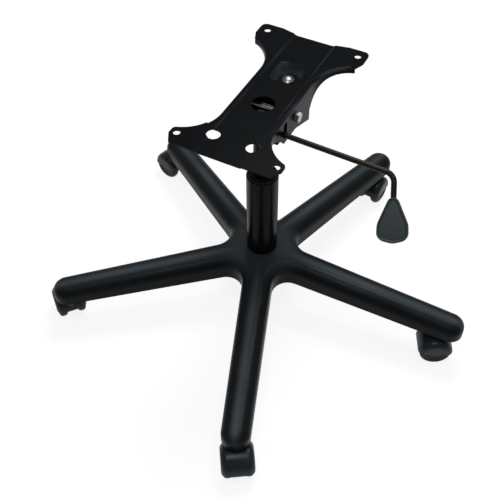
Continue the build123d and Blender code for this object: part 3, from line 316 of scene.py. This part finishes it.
# %% [markdown]
# The star, the casters, the handles and the bushes are moulded. Their colour goes from clean to a
# paler tone where they face up, which is dust and a painted sheen; the star's crowns carry a paler
# band, which is wear and a painted highlight; and the roughness follows the mottle. Rubber is made
# in the same way, only rougher. The pale studio light gives black plastic a cool sheen.

# %% Plastic
COOL = (0.86, 0.96, 1.0)
GRAIN_STRENGTH = 0.35


def plastic(name, clean, dust_sheen_colour, rough, grain_scale, depth, specular, worn_highlight=None):
    """Moulded plastic: etched grain, mottled sheen, dust with a painted sheen where it faces up and, where asked,
    crowns made paler by wear and a painted highlight.
    """
    material, tree, shader = start_finish(name, specular=specular, tint=COOL)
    etched = group_in(tree, grain, grain_scale=grain_scale)
    # The dusty colour on up-facing parts is also a painted sheen.
    colour = blend_colour(tree, group_in(tree, dust_sheen)["Dust Sheen"], clean, dust_sheen_colour)
    if worn_highlight:
        # The worn crown colour is a painted highlight as well as wear.
        colour = blend_colour(tree, group_in(tree, crown_highlight)["Crown Highlight"], colour, worn_highlight)
    sheen = span(tree, etched["Mottle"], *rough)
    add_surface(tree, shader, colour, sheen, etched["Height"], GRAIN_STRENGTH, depth)
    return material


# Each dusty colour is dust and also a painted sheen on up-facing surfaces.
PLASTICS = {
    # The star's worn colour is a painted highlight along the crowns and over the hub, as well as wear.
    "star_nylon": dict(
        clean=(0.0050, 0.0056, 0.0062), dust_sheen_colour=(0.013, 0.015, 0.017), worn_highlight=(0.044, 0.053, 0.061),
        rough=(0.30, 0.42), grain_scale=700, depth=0.00010, specular=0.065),
    "caster_plastic": dict(
        clean=(0.0088, 0.0106, 0.0134), dust_sheen_colour=(0.019, 0.023, 0.028),
        rough=(0.28, 0.40), grain_scale=900, depth=0.00004, specular=0.22),
    "wheel_nylon": dict(
        clean=(0.010, 0.0095, 0.009), dust_sheen_colour=(0.016, 0.0155, 0.015),
        rough=(0.40, 0.54), grain_scale=600, depth=0.00008, specular=0.16),
    "handle_plastic": dict(
        clean=(0.026, 0.032, 0.034), dust_sheen_colour=(0.038, 0.046, 0.049),
        rough=(0.45, 0.60), grain_scale=800, depth=0.00010, specular=0.20),
    "bush_plastic": dict(
        clean=(0.006, 0.006, 0.006), dust_sheen_colour=(0.010, 0.010, 0.010),
        rough=(0.45, 0.60), grain_scale=800, depth=0.00005, specular=0.15),
    "black_rubber": dict(
        clean=(0.008, 0.008, 0.008), dust_sheen_colour=(0.018, 0.018, 0.017),
        rough=(0.65, 0.80), grain_scale=500, depth=0.00012, specular=0.15),
}
finishes = {name: plastic(name, **look) for name, look in PLASTICS.items()}
print("plastics and rubber:", ", ".join(PLASTICS))

# %% [markdown]
# The column, the lever, and the seat plate with its bracket are painted. Their colour goes from
# clean to scuffed, the plate's bends are paler, by polish and a painted highlight, and the roughness
# follows the slow cloud.

# %% Paint
PEEL_STRENGTH = 0.25


def paint(name, clean, scuffed, rough, peel_scale, depth, specular, worn_highlight=None):
    """Sprayed steel: orange peel, hairline scuffs, a cloudy sheen and, where asked, bends made paler by polish and
    a painted highlight.
    """
    material, tree, shader = start_finish(name, specular=specular)
    sprayed = group_in(tree, skin, peel_scale=peel_scale)
    colour = blend_colour(tree, sprayed["Scuff"], clean, scuffed)
    if worn_highlight:
        # The worn bend colour is a painted highlight as well as polish.
        colour = blend_colour(tree, group_in(tree, bend_highlight)["Bend Highlight"], colour, worn_highlight)
    sheen = span(tree, sprayed["Cloud"], *rough)
    add_surface(tree, shader, colour, sheen, sprayed["Height"], PEEL_STRENGTH, depth)
    return material


PAINTS = {
    "column_paint": dict(
        clean=(0.0050, 0.0046, 0.0040), scuffed=(0.010, 0.009, 0.007),
        rough=(0.18, 0.30), peel_scale=200, depth=0.00005, specular=0.05),
    # The plate's worn colour is a painted highlight along its bends and dish walls, as well as polish.
    "plate_paint": dict(
        clean=(0.0020, 0.0028, 0.0036), scuffed=(0.0068, 0.0078, 0.0088), worn_highlight=(0.028, 0.033, 0.041),
        rough=(0.22, 0.34), peel_scale=260, depth=0.00008, specular=0.045),
    "lever_paint": dict(
        clean=(0.009, 0.008, 0.007), scuffed=(0.024, 0.022, 0.020),
        rough=(0.24, 0.40), peel_scale=300, depth=0.00005, specular=0.10),
}
finishes |= {name: paint(name, **look) for name, look in PAINTS.items()}
print("paints:", ", ".join(PAINTS))

# %% [markdown]
# The axles, stems, bolts and washers are plated or ground steel. The grain group serves again,
# with a finer mottle that clouds both the colour and the roughness. With that, every solid gets
# the finish that its record names.

# %% Steel, and dressing the solids
STEEL_MOTTLE = 70.0
STEEL_STRENGTH = 0.15
STEEL_DEPTH = 0.00004


def steel(name, clean, clouded, rough, grain_scale):
    """Bare or plated steel with a cloudy skin."""
    material, tree, shader = start_finish(name, metallic=1.0)
    plated = group_in(tree, grain, grain_scale=grain_scale, mottle_scale=STEEL_MOTTLE)
    colour = blend_colour(tree, plated["Mottle"], clean, clouded)
    sheen = span(tree, plated["Mottle"], *rough)
    add_surface(tree, shader, colour, sheen, plated["Height"], STEEL_STRENGTH, STEEL_DEPTH)
    return material


STEELS = {
    "zinc_steel": dict(
        clean=(0.46, 0.46, 0.47), clouded=(0.34, 0.34, 0.35), rough=(0.28, 0.46), grain_scale=500),
    "dark_bolt": dict(
        clean=(0.24, 0.24, 0.245), clouded=(0.17, 0.17, 0.175), rough=(0.28, 0.38), grain_scale=320),
    "bright_steel": dict(
        clean=(0.58, 0.58, 0.59), clouded=(0.48, 0.48, 0.49), rough=(0.16, 0.30), grain_scale=700),
}
finishes |= {name: steel(name, **look) for name, look in STEELS.items()}
for name, node in nodes.items():
    for material_slot in node.material_slots:
        material_slot.material = finishes[slots[name]]
print("dressed", len(nodes), "nodes in", len(finishes), "finishes")

# %% [markdown]
# The wheels are turned shapes: a fat ring with rounded rims, fine rings on the outer face and a
# button over the axle. A lathe in mesh code would do, but ten wheels share one rule, so a
# Geometry Nodes tree draws them. It starts with the fat ring, a rounded rectangle swept round a
# circle. A wheel stands on the floor, so its radius is the height of its axle.

# %% Wheel tree: the ring
WHEEL_SIZES = {
    "Tread Radius": joints["caster_1_left_roll"]["pos_m"][2], "Bore Radius": 0.0031, "Width": 0.0145,
    "Rim Round": 0.0060, "Button Radius": 0.0086}
TREAD_STEPS = 72
RIM_STEPS = 6


def new_tree(name, sizes):
    """Start a geometry tree with one named input for each size; return their identifiers too."""
    tree = bpy.data.node_groups.new(name, "GeometryNodeTree")
    identifiers = {}
    for label, value in sizes.items():
        kind = "NodeSocketInt" if isinstance(value, int) else "NodeSocketFloat"
        socket = tree.interface.new_socket(label, in_out="INPUT", socket_type=kind)
        socket.default_value = value
        identifiers[label] = socket.identifier
    return tree, identifiers, add_node(tree, "NodeGroupInput").outputs


def circle(tree, radius, steps):
    """A circle of straight steps."""
    node = add_node(tree, "GeometryNodeCurvePrimitiveCircle")
    feed(tree, node.inputs["Resolution"], steps)
    feed(tree, node.inputs["Radius"], radius)
    return node.outputs["Curve"]


def sweep(tree, path, section):
    """The mesh that a section makes along a path."""
    node = add_node(tree, "GeometryNodeCurveToMesh")
    feed(tree, node.inputs["Curve"], path)
    feed(tree, node.inputs["Profile Curve"], section)
    return node.outputs["Mesh"]


wheel_tree, wheel_ids, wheel_in = new_tree("caster_wheel", WHEEL_SIZES)
ring_depth = maths(wheel_tree, "SUBTRACT", wheel_in["Tread Radius"], wheel_in["Bore Radius"])
rectangle = add_node(wheel_tree, "GeometryNodeCurvePrimitiveQuadrilateral")
feed(wheel_tree, rectangle.inputs["Width"], ring_depth)
feed(wheel_tree, rectangle.inputs["Height"], wheel_in["Width"])
rounded = add_node(wheel_tree, "GeometryNodeFilletCurve", mode="POLY")
feed(wheel_tree, rounded.inputs["Count"], RIM_STEPS)
feed(wheel_tree, rounded.inputs["Curve"], rectangle.outputs["Curve"])
feed(wheel_tree, rounded.inputs["Radius"], wheel_in["Rim Round"])
half_depth = maths(wheel_tree, "MULTIPLY", ring_depth, 0.5)
ring_middle = maths(wheel_tree, "ADD", half_depth, wheel_in["Bore Radius"])
ring_path = circle(wheel_tree, ring_middle, TREAD_STEPS)
wheel_parts = [sweep(wheel_tree, ring_path, rounded.outputs["Curve"])]
print("wheel tree has inputs", ", ".join(wheel_ids))

# %% [markdown]
# The fine rings are circles swept by a thin wire, and the button is a ball pressed nearly flat.
# Both are lifted to the wheel's outer face. The tree ends by making everything real and giving it
# its material, because the export drops instances.

# %% Wheel tree: rings and button
HOOPS = ((0.44, 0.0006), (0.60, 0.0005), (0.74, 0.0005))
HOOP_STEPS = 56
WIRE_STEPS = 8
BUTTON_SEGMENTS = 36
BUTTON_RINGS = 12
BUTTON_FLATNESS = 0.03


def finish_tree(tree, parts, material):
    """Join the parts, make them real and give them their material."""
    join = add_node(tree, "GeometryNodeJoinGeometry")
    for part in parts:
        feed(tree, join.inputs["Geometry"], part)
    real = add_node(tree, "GeometryNodeRealizeInstances")
    coat = add_node(tree, "GeometryNodeSetMaterial")
    feed(tree, coat.inputs["Material"], material)
    tree.interface.new_socket("Geometry", in_out="OUTPUT", socket_type="NodeSocketGeometry")
    feed(tree, real.inputs["Geometry"], join.outputs["Geometry"])
    feed(tree, coat.inputs["Geometry"], real.outputs["Geometry"])
    feed(tree, add_node(tree, "NodeGroupOutput").inputs["Geometry"], coat.outputs["Geometry"])


face_place = add_node(wheel_tree, "ShaderNodeCombineXYZ")
feed(wheel_tree, face_place.inputs["Z"], maths(wheel_tree, "MULTIPLY", wheel_in["Width"], 0.5))


def on_the_face(part, flatten=1.0):
    """Lift a part of the wheel to its outer face, flattened along the axle."""
    lift = add_node(wheel_tree, "GeometryNodeTransform")
    feed(wheel_tree, lift.inputs["Scale"], (1.0, 1.0, flatten))
    feed(wheel_tree, lift.inputs["Translation"], face_place.outputs["Vector"])
    feed(wheel_tree, lift.inputs["Geometry"], part)
    return lift.outputs["Geometry"]


for share, wire_radius in HOOPS:
    hoop_radius = maths(wheel_tree, "MULTIPLY", wheel_in["Tread Radius"], share)
    hoop = circle(wheel_tree, hoop_radius, HOOP_STEPS)
    wire = circle(wheel_tree, wire_radius, WIRE_STEPS)
    wheel_parts.append(on_the_face(sweep(wheel_tree, hoop, wire)))
button = add_node(wheel_tree, "GeometryNodeMeshUVSphere")
feed(wheel_tree, button.inputs["Segments"], BUTTON_SEGMENTS)
feed(wheel_tree, button.inputs["Rings"], BUTTON_RINGS)
feed(wheel_tree, button.inputs["Radius"], wheel_in["Button Radius"])
wheel_parts.append(on_the_face(button.outputs["Mesh"], flatten=BUTTON_FLATNESS))
finish_tree(wheel_tree, wheel_parts, finishes["wheel_nylon"])
print("wheel tree has", len(wheel_tree.nodes), "nodes")

# %% [markdown]
# A tree only makes a live result. The export wants plain meshes, so this helper puts the tree on
# an empty mesh, sets its inputs by their identifiers, reads the evaluated mesh and drops the rest.

# %% From tree to mesh
def mesh_from_tree(name, tree, identifiers, sizes):
    """Evaluate a geometry tree once and return its mesh."""
    carrier = bpy.data.objects.new(name, bpy.data.meshes.new(name))
    bpy.context.scene.collection.objects.link(carrier)
    modifier = carrier.modifiers.new("tree", "NODES")
    modifier.node_group = tree
    for label, value in sizes.items():
        modifier[identifiers[label]] = value
    evaluated = carrier.evaluated_get(bpy.context.evaluated_depsgraph_get())
    mesh = bpy.data.meshes.new_from_object(evaluated)
    bpy.data.objects.remove(carrier)
    mesh.name = name
    return mesh


wheel_mesh = mesh_from_tree("wheel", wheel_tree, wheel_ids, WHEEL_SIZES)
print("one wheel has", len(wheel_mesh.polygons), "faces")

# %% [markdown]
# Each axle's place and direction come from the frame's own joints, so the wheels sit where the
# solids sit, whichever way a caster was left standing. A wheel replaces its plain solid. Smooth
# shading hides the facets, and edges above a given angle stay crisp.

# %% Lay the wheels on their axles
UP = Vector((0, 0, 1))
WHEEL_MIDDLE = 0.01575


def show_piece(name, mesh, body, sharp=38):
    """Make a finished mesh a piece that rides on a body, or on none."""
    for polygon in mesh.polygons:
        polygon.use_smooth = True
    mesh.set_sharp_from_angle(angle=radians(sharp))
    piece = bpy.data.objects.new(name, mesh)
    bpy.context.scene.collection.objects.link(piece)
    if body:
        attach(piece, body)
    return piece


def axes_matrix(x_way, y_way, z_way, place):
    """Matrix that lays local axes along three directions at a place."""
    turn = Matrix((x_way, y_way, z_way)).transposed().to_4x4()
    turn.translation = place
    return turn


casters = []
for number in range(1, 6):
    swivel = joints[f"caster_{number}_swivel"]
    roll = joints[f"caster_{number}_left_roll"]
    centre = Vector(roll["pos_m"])
    across = Vector(roll["axis"]).normalized()
    trail = UP.cross(across)
    casters.append((number, Vector(swivel["pos_m"]), centre, across, trail))
    for hand, side in (("left", -1), ("right", 1)):
        mesh = wheel_mesh.copy()
        outward = across * side
        mesh.transform(axes_matrix(trail, outward.cross(trail), outward, centre + outward * WHEEL_MIDDLE))
        piece = show_piece(f"wheel_{number}_{hand}", mesh, f"caster_{number}_{hand}")
        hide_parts(f"caster_{number}_wheel_{hand}")
print("laid", 2 * len(casters), "wheels")

# %% [markdown]
# The hood is a thin half drum with softly rounded ends and a web between the wheels. Its section
# is one closed outline, so it is spun half a turn round the axle and cut level just above it.
# The cut is filled, which gives the rim its real thickness. A boss on the web carries the axle.

# %% Hood
HOOD_RADIUS = 0.028
HOOD_HALF = 0.0253
HOOD_WALL = 0.0018
HOOD_ROUND = 0.0100
HOOD_STEPS = 48
OUTER_STEPS = 9
INNER_STEPS = 6
WEB_HALF = 0.0080
SKIRT = 0.002
BOSS_RADIUS = 0.0095
MERGE_DISTANCE = 1e-6


def rounded_end(radius, steps):
    """A quarter arc at the hood's end, as pairs of (along the axle, away from it)."""
    turns = [radians(90 * step / steps) for step in range(steps + 1)]
    return [(HOOD_HALF - HOOD_ROUND + radius * cos(turn), HOOD_RADIUS - HOOD_ROUND + radius * sin(turn))
            for turn in turns]


def hood_section():
    """Closed outline in the same pairs: over the top from side to side, and back by the pockets."""
    side = [(HOOD_HALF, 0.0)] + rounded_end(HOOD_ROUND, OUTER_STEPS)
    hollow = rounded_end(HOOD_ROUND - HOOD_WALL, INNER_STEPS)
    web = [(WEB_HALF, 0.0), (WEB_HALF, HOOD_RADIUS - HOOD_WALL)]
    pocket = web + hollow[::-1] + [(HOOD_HALF - HOOD_WALL, 0.0)]
    mirrored_side = [(-along, away) for along, away in reversed(side)]
    mirrored_pocket = [(-along, away) for along, away in reversed(pocket)]
    return side + mirrored_side + mirrored_pocket + pocket


def keep_mesh(name, shape):
    """Turn a shape's faces outwards and keep it as a mesh."""
    bmesh.ops.recalc_face_normals(shape, faces=shape.faces[:])
    mesh = bpy.data.meshes.new(name)
    shape.to_mesh(mesh)
    shape.free()
    return mesh


drum = bmesh.new()
outline = [drum.verts.new((-away, along, 0.0)) for along, away in hood_section()]
edges = [drum.edges.new((outline[k], outline[(k + 1) % len(outline)])) for k in range(len(outline))]
bmesh.ops.spin(
    drum, geom=outline + edges, cent=(0, 0, 0), axis=(0, 1, 0), angle=pi, steps=HOOD_STEPS)
bmesh.ops.remove_doubles(drum, verts=drum.verts[:], dist=MERGE_DISTANCE)
cut = bmesh.ops.bisect_plane(
    drum, geom=drum.verts[:] + drum.edges[:] + drum.faces[:], plane_co=(0, 0, SKIRT),
    plane_no=(0, 0, -1), clear_outer=True)
rim = [item for item in cut["geom_cut"] if isinstance(item, bmesh.types.BMEdge)]
bmesh.ops.triangle_fill(drum, edges=rim, use_beauty=True)
bmesh.ops.create_cone(
    drum, cap_ends=True, segments=HOOD_STEPS, radius1=BOSS_RADIUS, radius2=BOSS_RADIUS,
    depth=2 * WEB_HALF, matrix=Matrix.Rotation(radians(90), 4, "X"))
one_hood = keep_mesh("hood", drum)
one_hood.materials.append(finishes["caster_plastic"])
print("one hood has", len(one_hood.polygons), "faces")

# %% [markdown]
# The neck joins the hood to the stem. It is a short turned collar, slim where it passes between
# the wheels, laid at the stem's own place and joined to the hood's mesh as one piece. A turned
# shape is a stack of level loops, joined by bands of faces. The helper takes any loops, because
# the paddle and the spring are made in the same way.

# %% Hoods on their stems
NECK_RADIUS = 0.010
NECK_TOP = 0.055
NECK_SEAT = 0.046
NECK_SLOPE = 0.002
NECK_EDGE = 0.001
TURNED_STEPS = 40


def level_circle(radius, height):
    """Points of a level circle round the upright axis."""
    turns = [2 * pi * step / TURNED_STEPS for step in range(TURNED_STEPS)]
    return [(radius * cos(turn), radius * sin(turn), height) for turn in turns]


def stack(loops, bored=False):
    """Join loops of points by bands of faces; a bored stack closes on its first loop."""
    shape = bmesh.new()
    rows = [[shape.verts.new(point) for point in loop] for loop in loops]
    if bored:
        rows.append(rows[0])
    for low, high in zip(rows, rows[1:]):
        for k in range(len(low)):
            after = (k + 1) % len(low)
            shape.faces.new((low[k], low[after], high[after], high[k]))
    if not bored:
        shape.faces.new(rows[0][::-1])
        shape.faces.new(rows[-1])
    bmesh.ops.recalc_face_normals(shape, faces=shape.faces[:])
    return shape


for number, stem, centre, across, trail in casters:
    hood = one_hood.copy()
    hood.transform(axes_matrix(trail, -across, UP, centre))
    neck = stack([
        level_circle(WEB_HALF, centre.z + SKIRT),
        level_circle(WEB_HALF, NECK_SEAT),
        level_circle(NECK_RADIUS, NECK_SEAT + NECK_SLOPE),
        level_circle(NECK_RADIUS, NECK_TOP - NECK_EDGE),
        level_circle(NECK_RADIUS - NECK_EDGE, NECK_TOP)])
    bmesh.ops.translate(neck, verts=neck.verts[:], vec=(stem.x, stem.y, 0))
    neck.from_mesh(hood)
    neck.to_mesh(hood)
    neck.free()
    piece = show_piece(f"hood_{number}", hood, f"caster_{number}", sharp=32)
    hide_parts(f"caster_{number}_hood")
print("set", len(casters), "hoods")

# %% [markdown]
# The paddle is a soft charcoal moulding with a raised rim round a shallow dish. Its outline is
# the hull of four circles, as in the solid. Drawing that outline again with smaller circles gives
# every inner ring, so lists of (inset, height) pairs shape the whole cross-section. It is made
# flat and then laid along the drooping end of the lever.

# %% Paddle
KNEE = Vector((0.205, -0.015, 0.3755))
KNEE_TURN = radians(71)
DROOP = radians(40)
PADDLE_START = 0.031
PADDLE_CIRCLES = (
    (0.0, 0.0085, 0.0085), (0.0, 0.0405, 0.0210), (-0.0088, 0.0470, 0.0125), (0.0088, 0.0470, 0.0125))
PADDLE_STEPS = 96
PADDLE_UNDERSIDE = (
    (0.0065, -0.0065), (0.003, -0.0062), (0.0012, -0.0052), (0.0003, -0.0036), (0.0, -0.0018))
PADDLE_RIM = (
    (0.0, 0.0026), (0.0004, 0.0044), (0.0010, 0.0056), (0.0018, 0.0062), (0.0026, 0.0059))
PADDLE_DISH = ((0.0031, 0.0051), (0.0036, 0.0046), (0.0044, 0.0047), (0.0068, 0.0050))


def paddle_loop(inset, height):
    """Hull of the paddle's circles, pulled in by the inset, at a height."""
    points = []
    for step in range(PADDLE_STEPS):
        turn = 2 * pi * step / PADDLE_STEPS
        way = Vector((cos(turn), sin(turn)))
        x, y, radius = max(PADDLE_CIRCLES, key=lambda c: c[0] * way.x + c[1] * way.y + c[2])
        points.append((x + (radius - inset) * way.x, y + (radius - inset) * way.y, height))
    return points


paddle_rings = PADDLE_UNDERSIDE + PADDLE_RIM + PADDLE_DISH
paddle_mesh = keep_mesh("paddle", stack([paddle_loop(inset, height) for inset, height in paddle_rings]))
tail = Vector((cos(KNEE_TURN), -sin(KNEE_TURN) * cos(DROOP), -sin(KNEE_TURN) * sin(DROOP)))
face_up = tail.cross(Vector((1, 0, 0))).normalized()
paddle_mesh.transform(axes_matrix(tail.cross(face_up), tail, face_up, KNEE + tail * PADDLE_START))
paddle_mesh.materials.append(finishes["handle_plastic"])
paddle_piece = show_piece("paddle", paddle_mesh, "lever", sharp=50)
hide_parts("lever_handle")
print("paddle has", len(paddle_mesh.polygons), "faces")

# %% [markdown]
# Under the bracket the socket tube is welded on. A weld is a row of overlapping scales, so a tree
# sets flattened drops along a circle, each turned along it. It is small, but it is what tells a
# welded joint from two shapes that only touch.

# %% Weld bead
WELD_SIZES = {"Seam Radius": 0.0196, "Scales": 46, "Scale Size": 0.0017}
SCALE_SHAPE = (1.0, 1.0, 0.85)
SCALE_SUBDIVISIONS = 2
WELD_BELOW = 0.0004
weld_tree, weld_ids, weld_in = new_tree("weld_bead", WELD_SIZES)
marks = add_node(weld_tree, "GeometryNodeCurveToPoints", mode="EVALUATED")
feed(weld_tree, marks.inputs["Curve"], circle(weld_tree, weld_in["Seam Radius"], weld_in["Scales"]))
drop = add_node(weld_tree, "GeometryNodeMeshIcoSphere")
feed(weld_tree, drop.inputs["Subdivisions"], SCALE_SUBDIVISIONS)
feed(weld_tree, drop.inputs["Radius"], weld_in["Scale Size"])
scales = add_node(weld_tree, "GeometryNodeInstanceOnPoints")
feed(weld_tree, scales.inputs["Scale"], SCALE_SHAPE)
feed(weld_tree, scales.inputs["Points"], marks.outputs["Points"])
feed(weld_tree, scales.inputs["Rotation"], marks.outputs["Rotation"])
feed(weld_tree, scales.inputs["Instance"], drop.outputs["Mesh"])
finish_tree(weld_tree, [scales.outputs["Instances"]], finishes["plate_paint"])
weld_mesh = mesh_from_tree("weld", weld_tree, weld_ids, WELD_SIZES)
weld_mesh.transform(Matrix.Translation((0, 0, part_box("tilt_bracket")[0].z - WELD_BELOW)))
show_piece("socket_weld", weld_mesh, "carriage")
print("weld has", len(weld_mesh.polygons), "faces")

# %% [markdown]
# The tension spring is a waisted block of rubber round the tension bolt. When the seat tilts, the
# cap on the bolt squeezes it against the bracket. A rigid piece would be cut by the cap. This one is
# turned as many thin rings and rides on no body.

# %% Rubber spring
SPRING_BORE = 0.006
SPRING_WAIST = 0.0125
SPRING_EDGE = 0.0010
SPRING_RINGS = 16
spring_low, spring_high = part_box("tension_spring")
spring_radius = (spring_high.x - spring_low.x) / 2
spring_length = spring_high.z - spring_low.z
shares = [k / SPRING_RINGS for k in range(SPRING_RINGS + 1)]
flank = [(spring_radius - (spring_radius - SPRING_WAIST) * sin(pi * share),
          SPRING_EDGE + share * (spring_length - 2 * SPRING_EDGE)) for share in shares]
outside = [(spring_radius - SPRING_EDGE, 0.0)] + flank + [(spring_radius - SPRING_EDGE, spring_length)]
bore = [(SPRING_BORE, share * spring_length) for share in reversed(shares)]
block = stack([level_circle(radius, height) for radius, height in outside + bore], bored=True)
spring_x = (spring_low.x + spring_high.x) / 2
spring_y = (spring_low.y + spring_high.y) / 2
spring_place = Vector((spring_x, spring_y, spring_low.z))
bmesh.ops.translate(block, verts=block.verts[:], vec=spring_place)
spring_mesh = keep_mesh("spring", block)
spring_mesh.materials.append(finishes["black_rubber"])
spring_piece = show_piece("rubber_spring", spring_mesh, None)
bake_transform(spring_piece)
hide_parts("tension_spring")
print("spring has", len(spring_mesh.polygons), "faces")

# %% [markdown]
# The studio is a pale floor that carries on past the picture. To the camera, and in reflections,
# it is white: most of that is its own glow, and the rest is diffuse, which keeps a faint shadow
# under the casters. To everything else it is plain pale card, so it bounces light softly.

# %% Floor
CARD_COLOUR = (0.80, 0.80, 0.80, 1.0)
SHADE_COLOUR = (0.16, 0.16, 0.16, 1.0)
FLOOR_GLOW = 0.87
FLOOR_REACH = 8.0


def seen_directly(tree):
    """1 for camera, glossy and transmission rays, 0 for the rest."""
    rays = add_node(tree, "ShaderNodeLightPath").outputs
    seen = maths(tree, "MAXIMUM", rays["Is Camera Ray"], rays["Is Glossy Ray"])
    return maths(tree, "MAXIMUM", seen, rays["Is Transmission Ray"])


floor_card = bpy.data.materials.new("floor_card")
floor_card.use_nodes = True
card = floor_card.node_tree
card.nodes.clear()
matt = add_node(card, "ShaderNodeBsdfDiffuse")
feed(card, matt.inputs["Color"], CARD_COLOUR)
shade = add_node(card, "ShaderNodeBsdfDiffuse")
feed(card, shade.inputs["Color"], SHADE_COLOUR)
glow = add_node(card, "ShaderNodeEmission")
feed(card, glow.inputs["Strength"], FLOOR_GLOW)
shown = add_node(card, "ShaderNodeAddShader")
feed(card, shown.inputs[0], shade.outputs["BSDF"])
feed(card, shown.inputs[1], glow.outputs["Emission"])
pick = add_node(card, "ShaderNodeMixShader")
feed(card, pick.inputs["Fac"], seen_directly(card))
feed(card, pick.inputs[1], matt.outputs["BSDF"])
feed(card, pick.inputs[2], shown.outputs["Shader"])
feed(card, add_node(card, "ShaderNodeOutputMaterial").inputs["Surface"], pick.outputs["Shader"])
corners = [(x * FLOOR_REACH, y * FLOOR_REACH, 0.0) for x, y in ((-1, -1), (1, -1), (1, 1), (-1, 1))]
floor_mesh = bpy.data.meshes.new("floor")
floor_mesh.from_pydata(corners, [], [(0, 1, 2, 3)])
floor_mesh.materials.append(floor_card)
floor = bpy.data.objects.new("floor", floor_mesh)
bpy.context.scene.collection.objects.link(floor)
print("floor reaches", FLOOR_REACH, "m each way")

# %% [markdown]
# The photo's camera looks down and never meets the world, so that is only a dim, even fill: a
# black part needs something darker than white to reflect.

# %% World
WORLD_FILL = 0.30
world = bpy.data.worlds.new("studio")
bpy.context.scene.world = world
world.use_nodes = True
sky = world.node_tree
sky.nodes.clear()
fill = add_node(sky, "ShaderNodeBackground")
feed(sky, fill.inputs["Color"], (*WHITE, 1.0))
feed(sky, fill.inputs["Strength"], WORLD_FILL)
feed(sky, add_node(sky, "ShaderNodeOutputWorld").inputs["Surface"], fill.outputs["Background"])
print("world fills with", WORLD_FILL)

# %% [markdown]
# The photo's light is from above, so that the tops of the arms shine softly and their sides stay
# dark. Two area lamps do that: a wide one high behind the part, whose reflection runs along the
# ridges, and a smaller one high in front, which rounds off the casters.

# %% Lamps
LAMP_AIM = Vector((0, 0, 0.1))


def soft_box(name, place, size, power):
    """A square area lamp that looks at the part."""
    lamp = bpy.data.lights.new(name, "AREA")
    lamp.size = size
    lamp.energy = power
    box = bpy.data.objects.new(name, lamp)
    box.location = place
    box.rotation_euler = (LAMP_AIM - Vector(place)).to_track_quat("-Z", "Y").to_euler()
    bpy.context.scene.collection.objects.link(box)


soft_box("behind", place=(-0.15, 1.00, 2.3), size=0.7, power=36)
soft_box("front", place=(0.15, -0.60, 2.3), size=0.5, power=12)
print("lamps", [light.name for light in bpy.data.lights])

# %% [markdown]
# The camera's place was worked out from the photo: the arm ends, the holes in the plate and the
# casters' feet fix where it stood and how long its lens was.

# %% Camera
CAMERA_PLACE = Vector((0.4012, -0.7920, 1.1148))
CAMERA_WAY = Vector((-0.3105, 0.5802, -0.7530))
CAMERA_ROLL = radians(-0.5)
SENSOR_WIDTH = 36.0
LENS_LENGTH = 57.6
eye = bpy.data.cameras.new("photo_camera")
eye.sensor_width = SENSOR_WIDTH
eye.lens = LENS_LENGTH
camera = bpy.data.objects.new("photo_camera", eye)
camera.matrix_world = (Matrix.Translation(CAMERA_PLACE)
                       @ CAMERA_WAY.to_track_quat("-Z", "Y").to_matrix().to_4x4()
                       @ Matrix.Rotation(CAMERA_ROLL, 4, "Z"))
bpy.context.scene.collection.objects.link(camera)
bpy.context.scene.camera = camera
bpy.context.scene.view_settings.view_transform = "Standard"
print("camera at", tuple(round(v, 3) for v in CAMERA_PLACE))
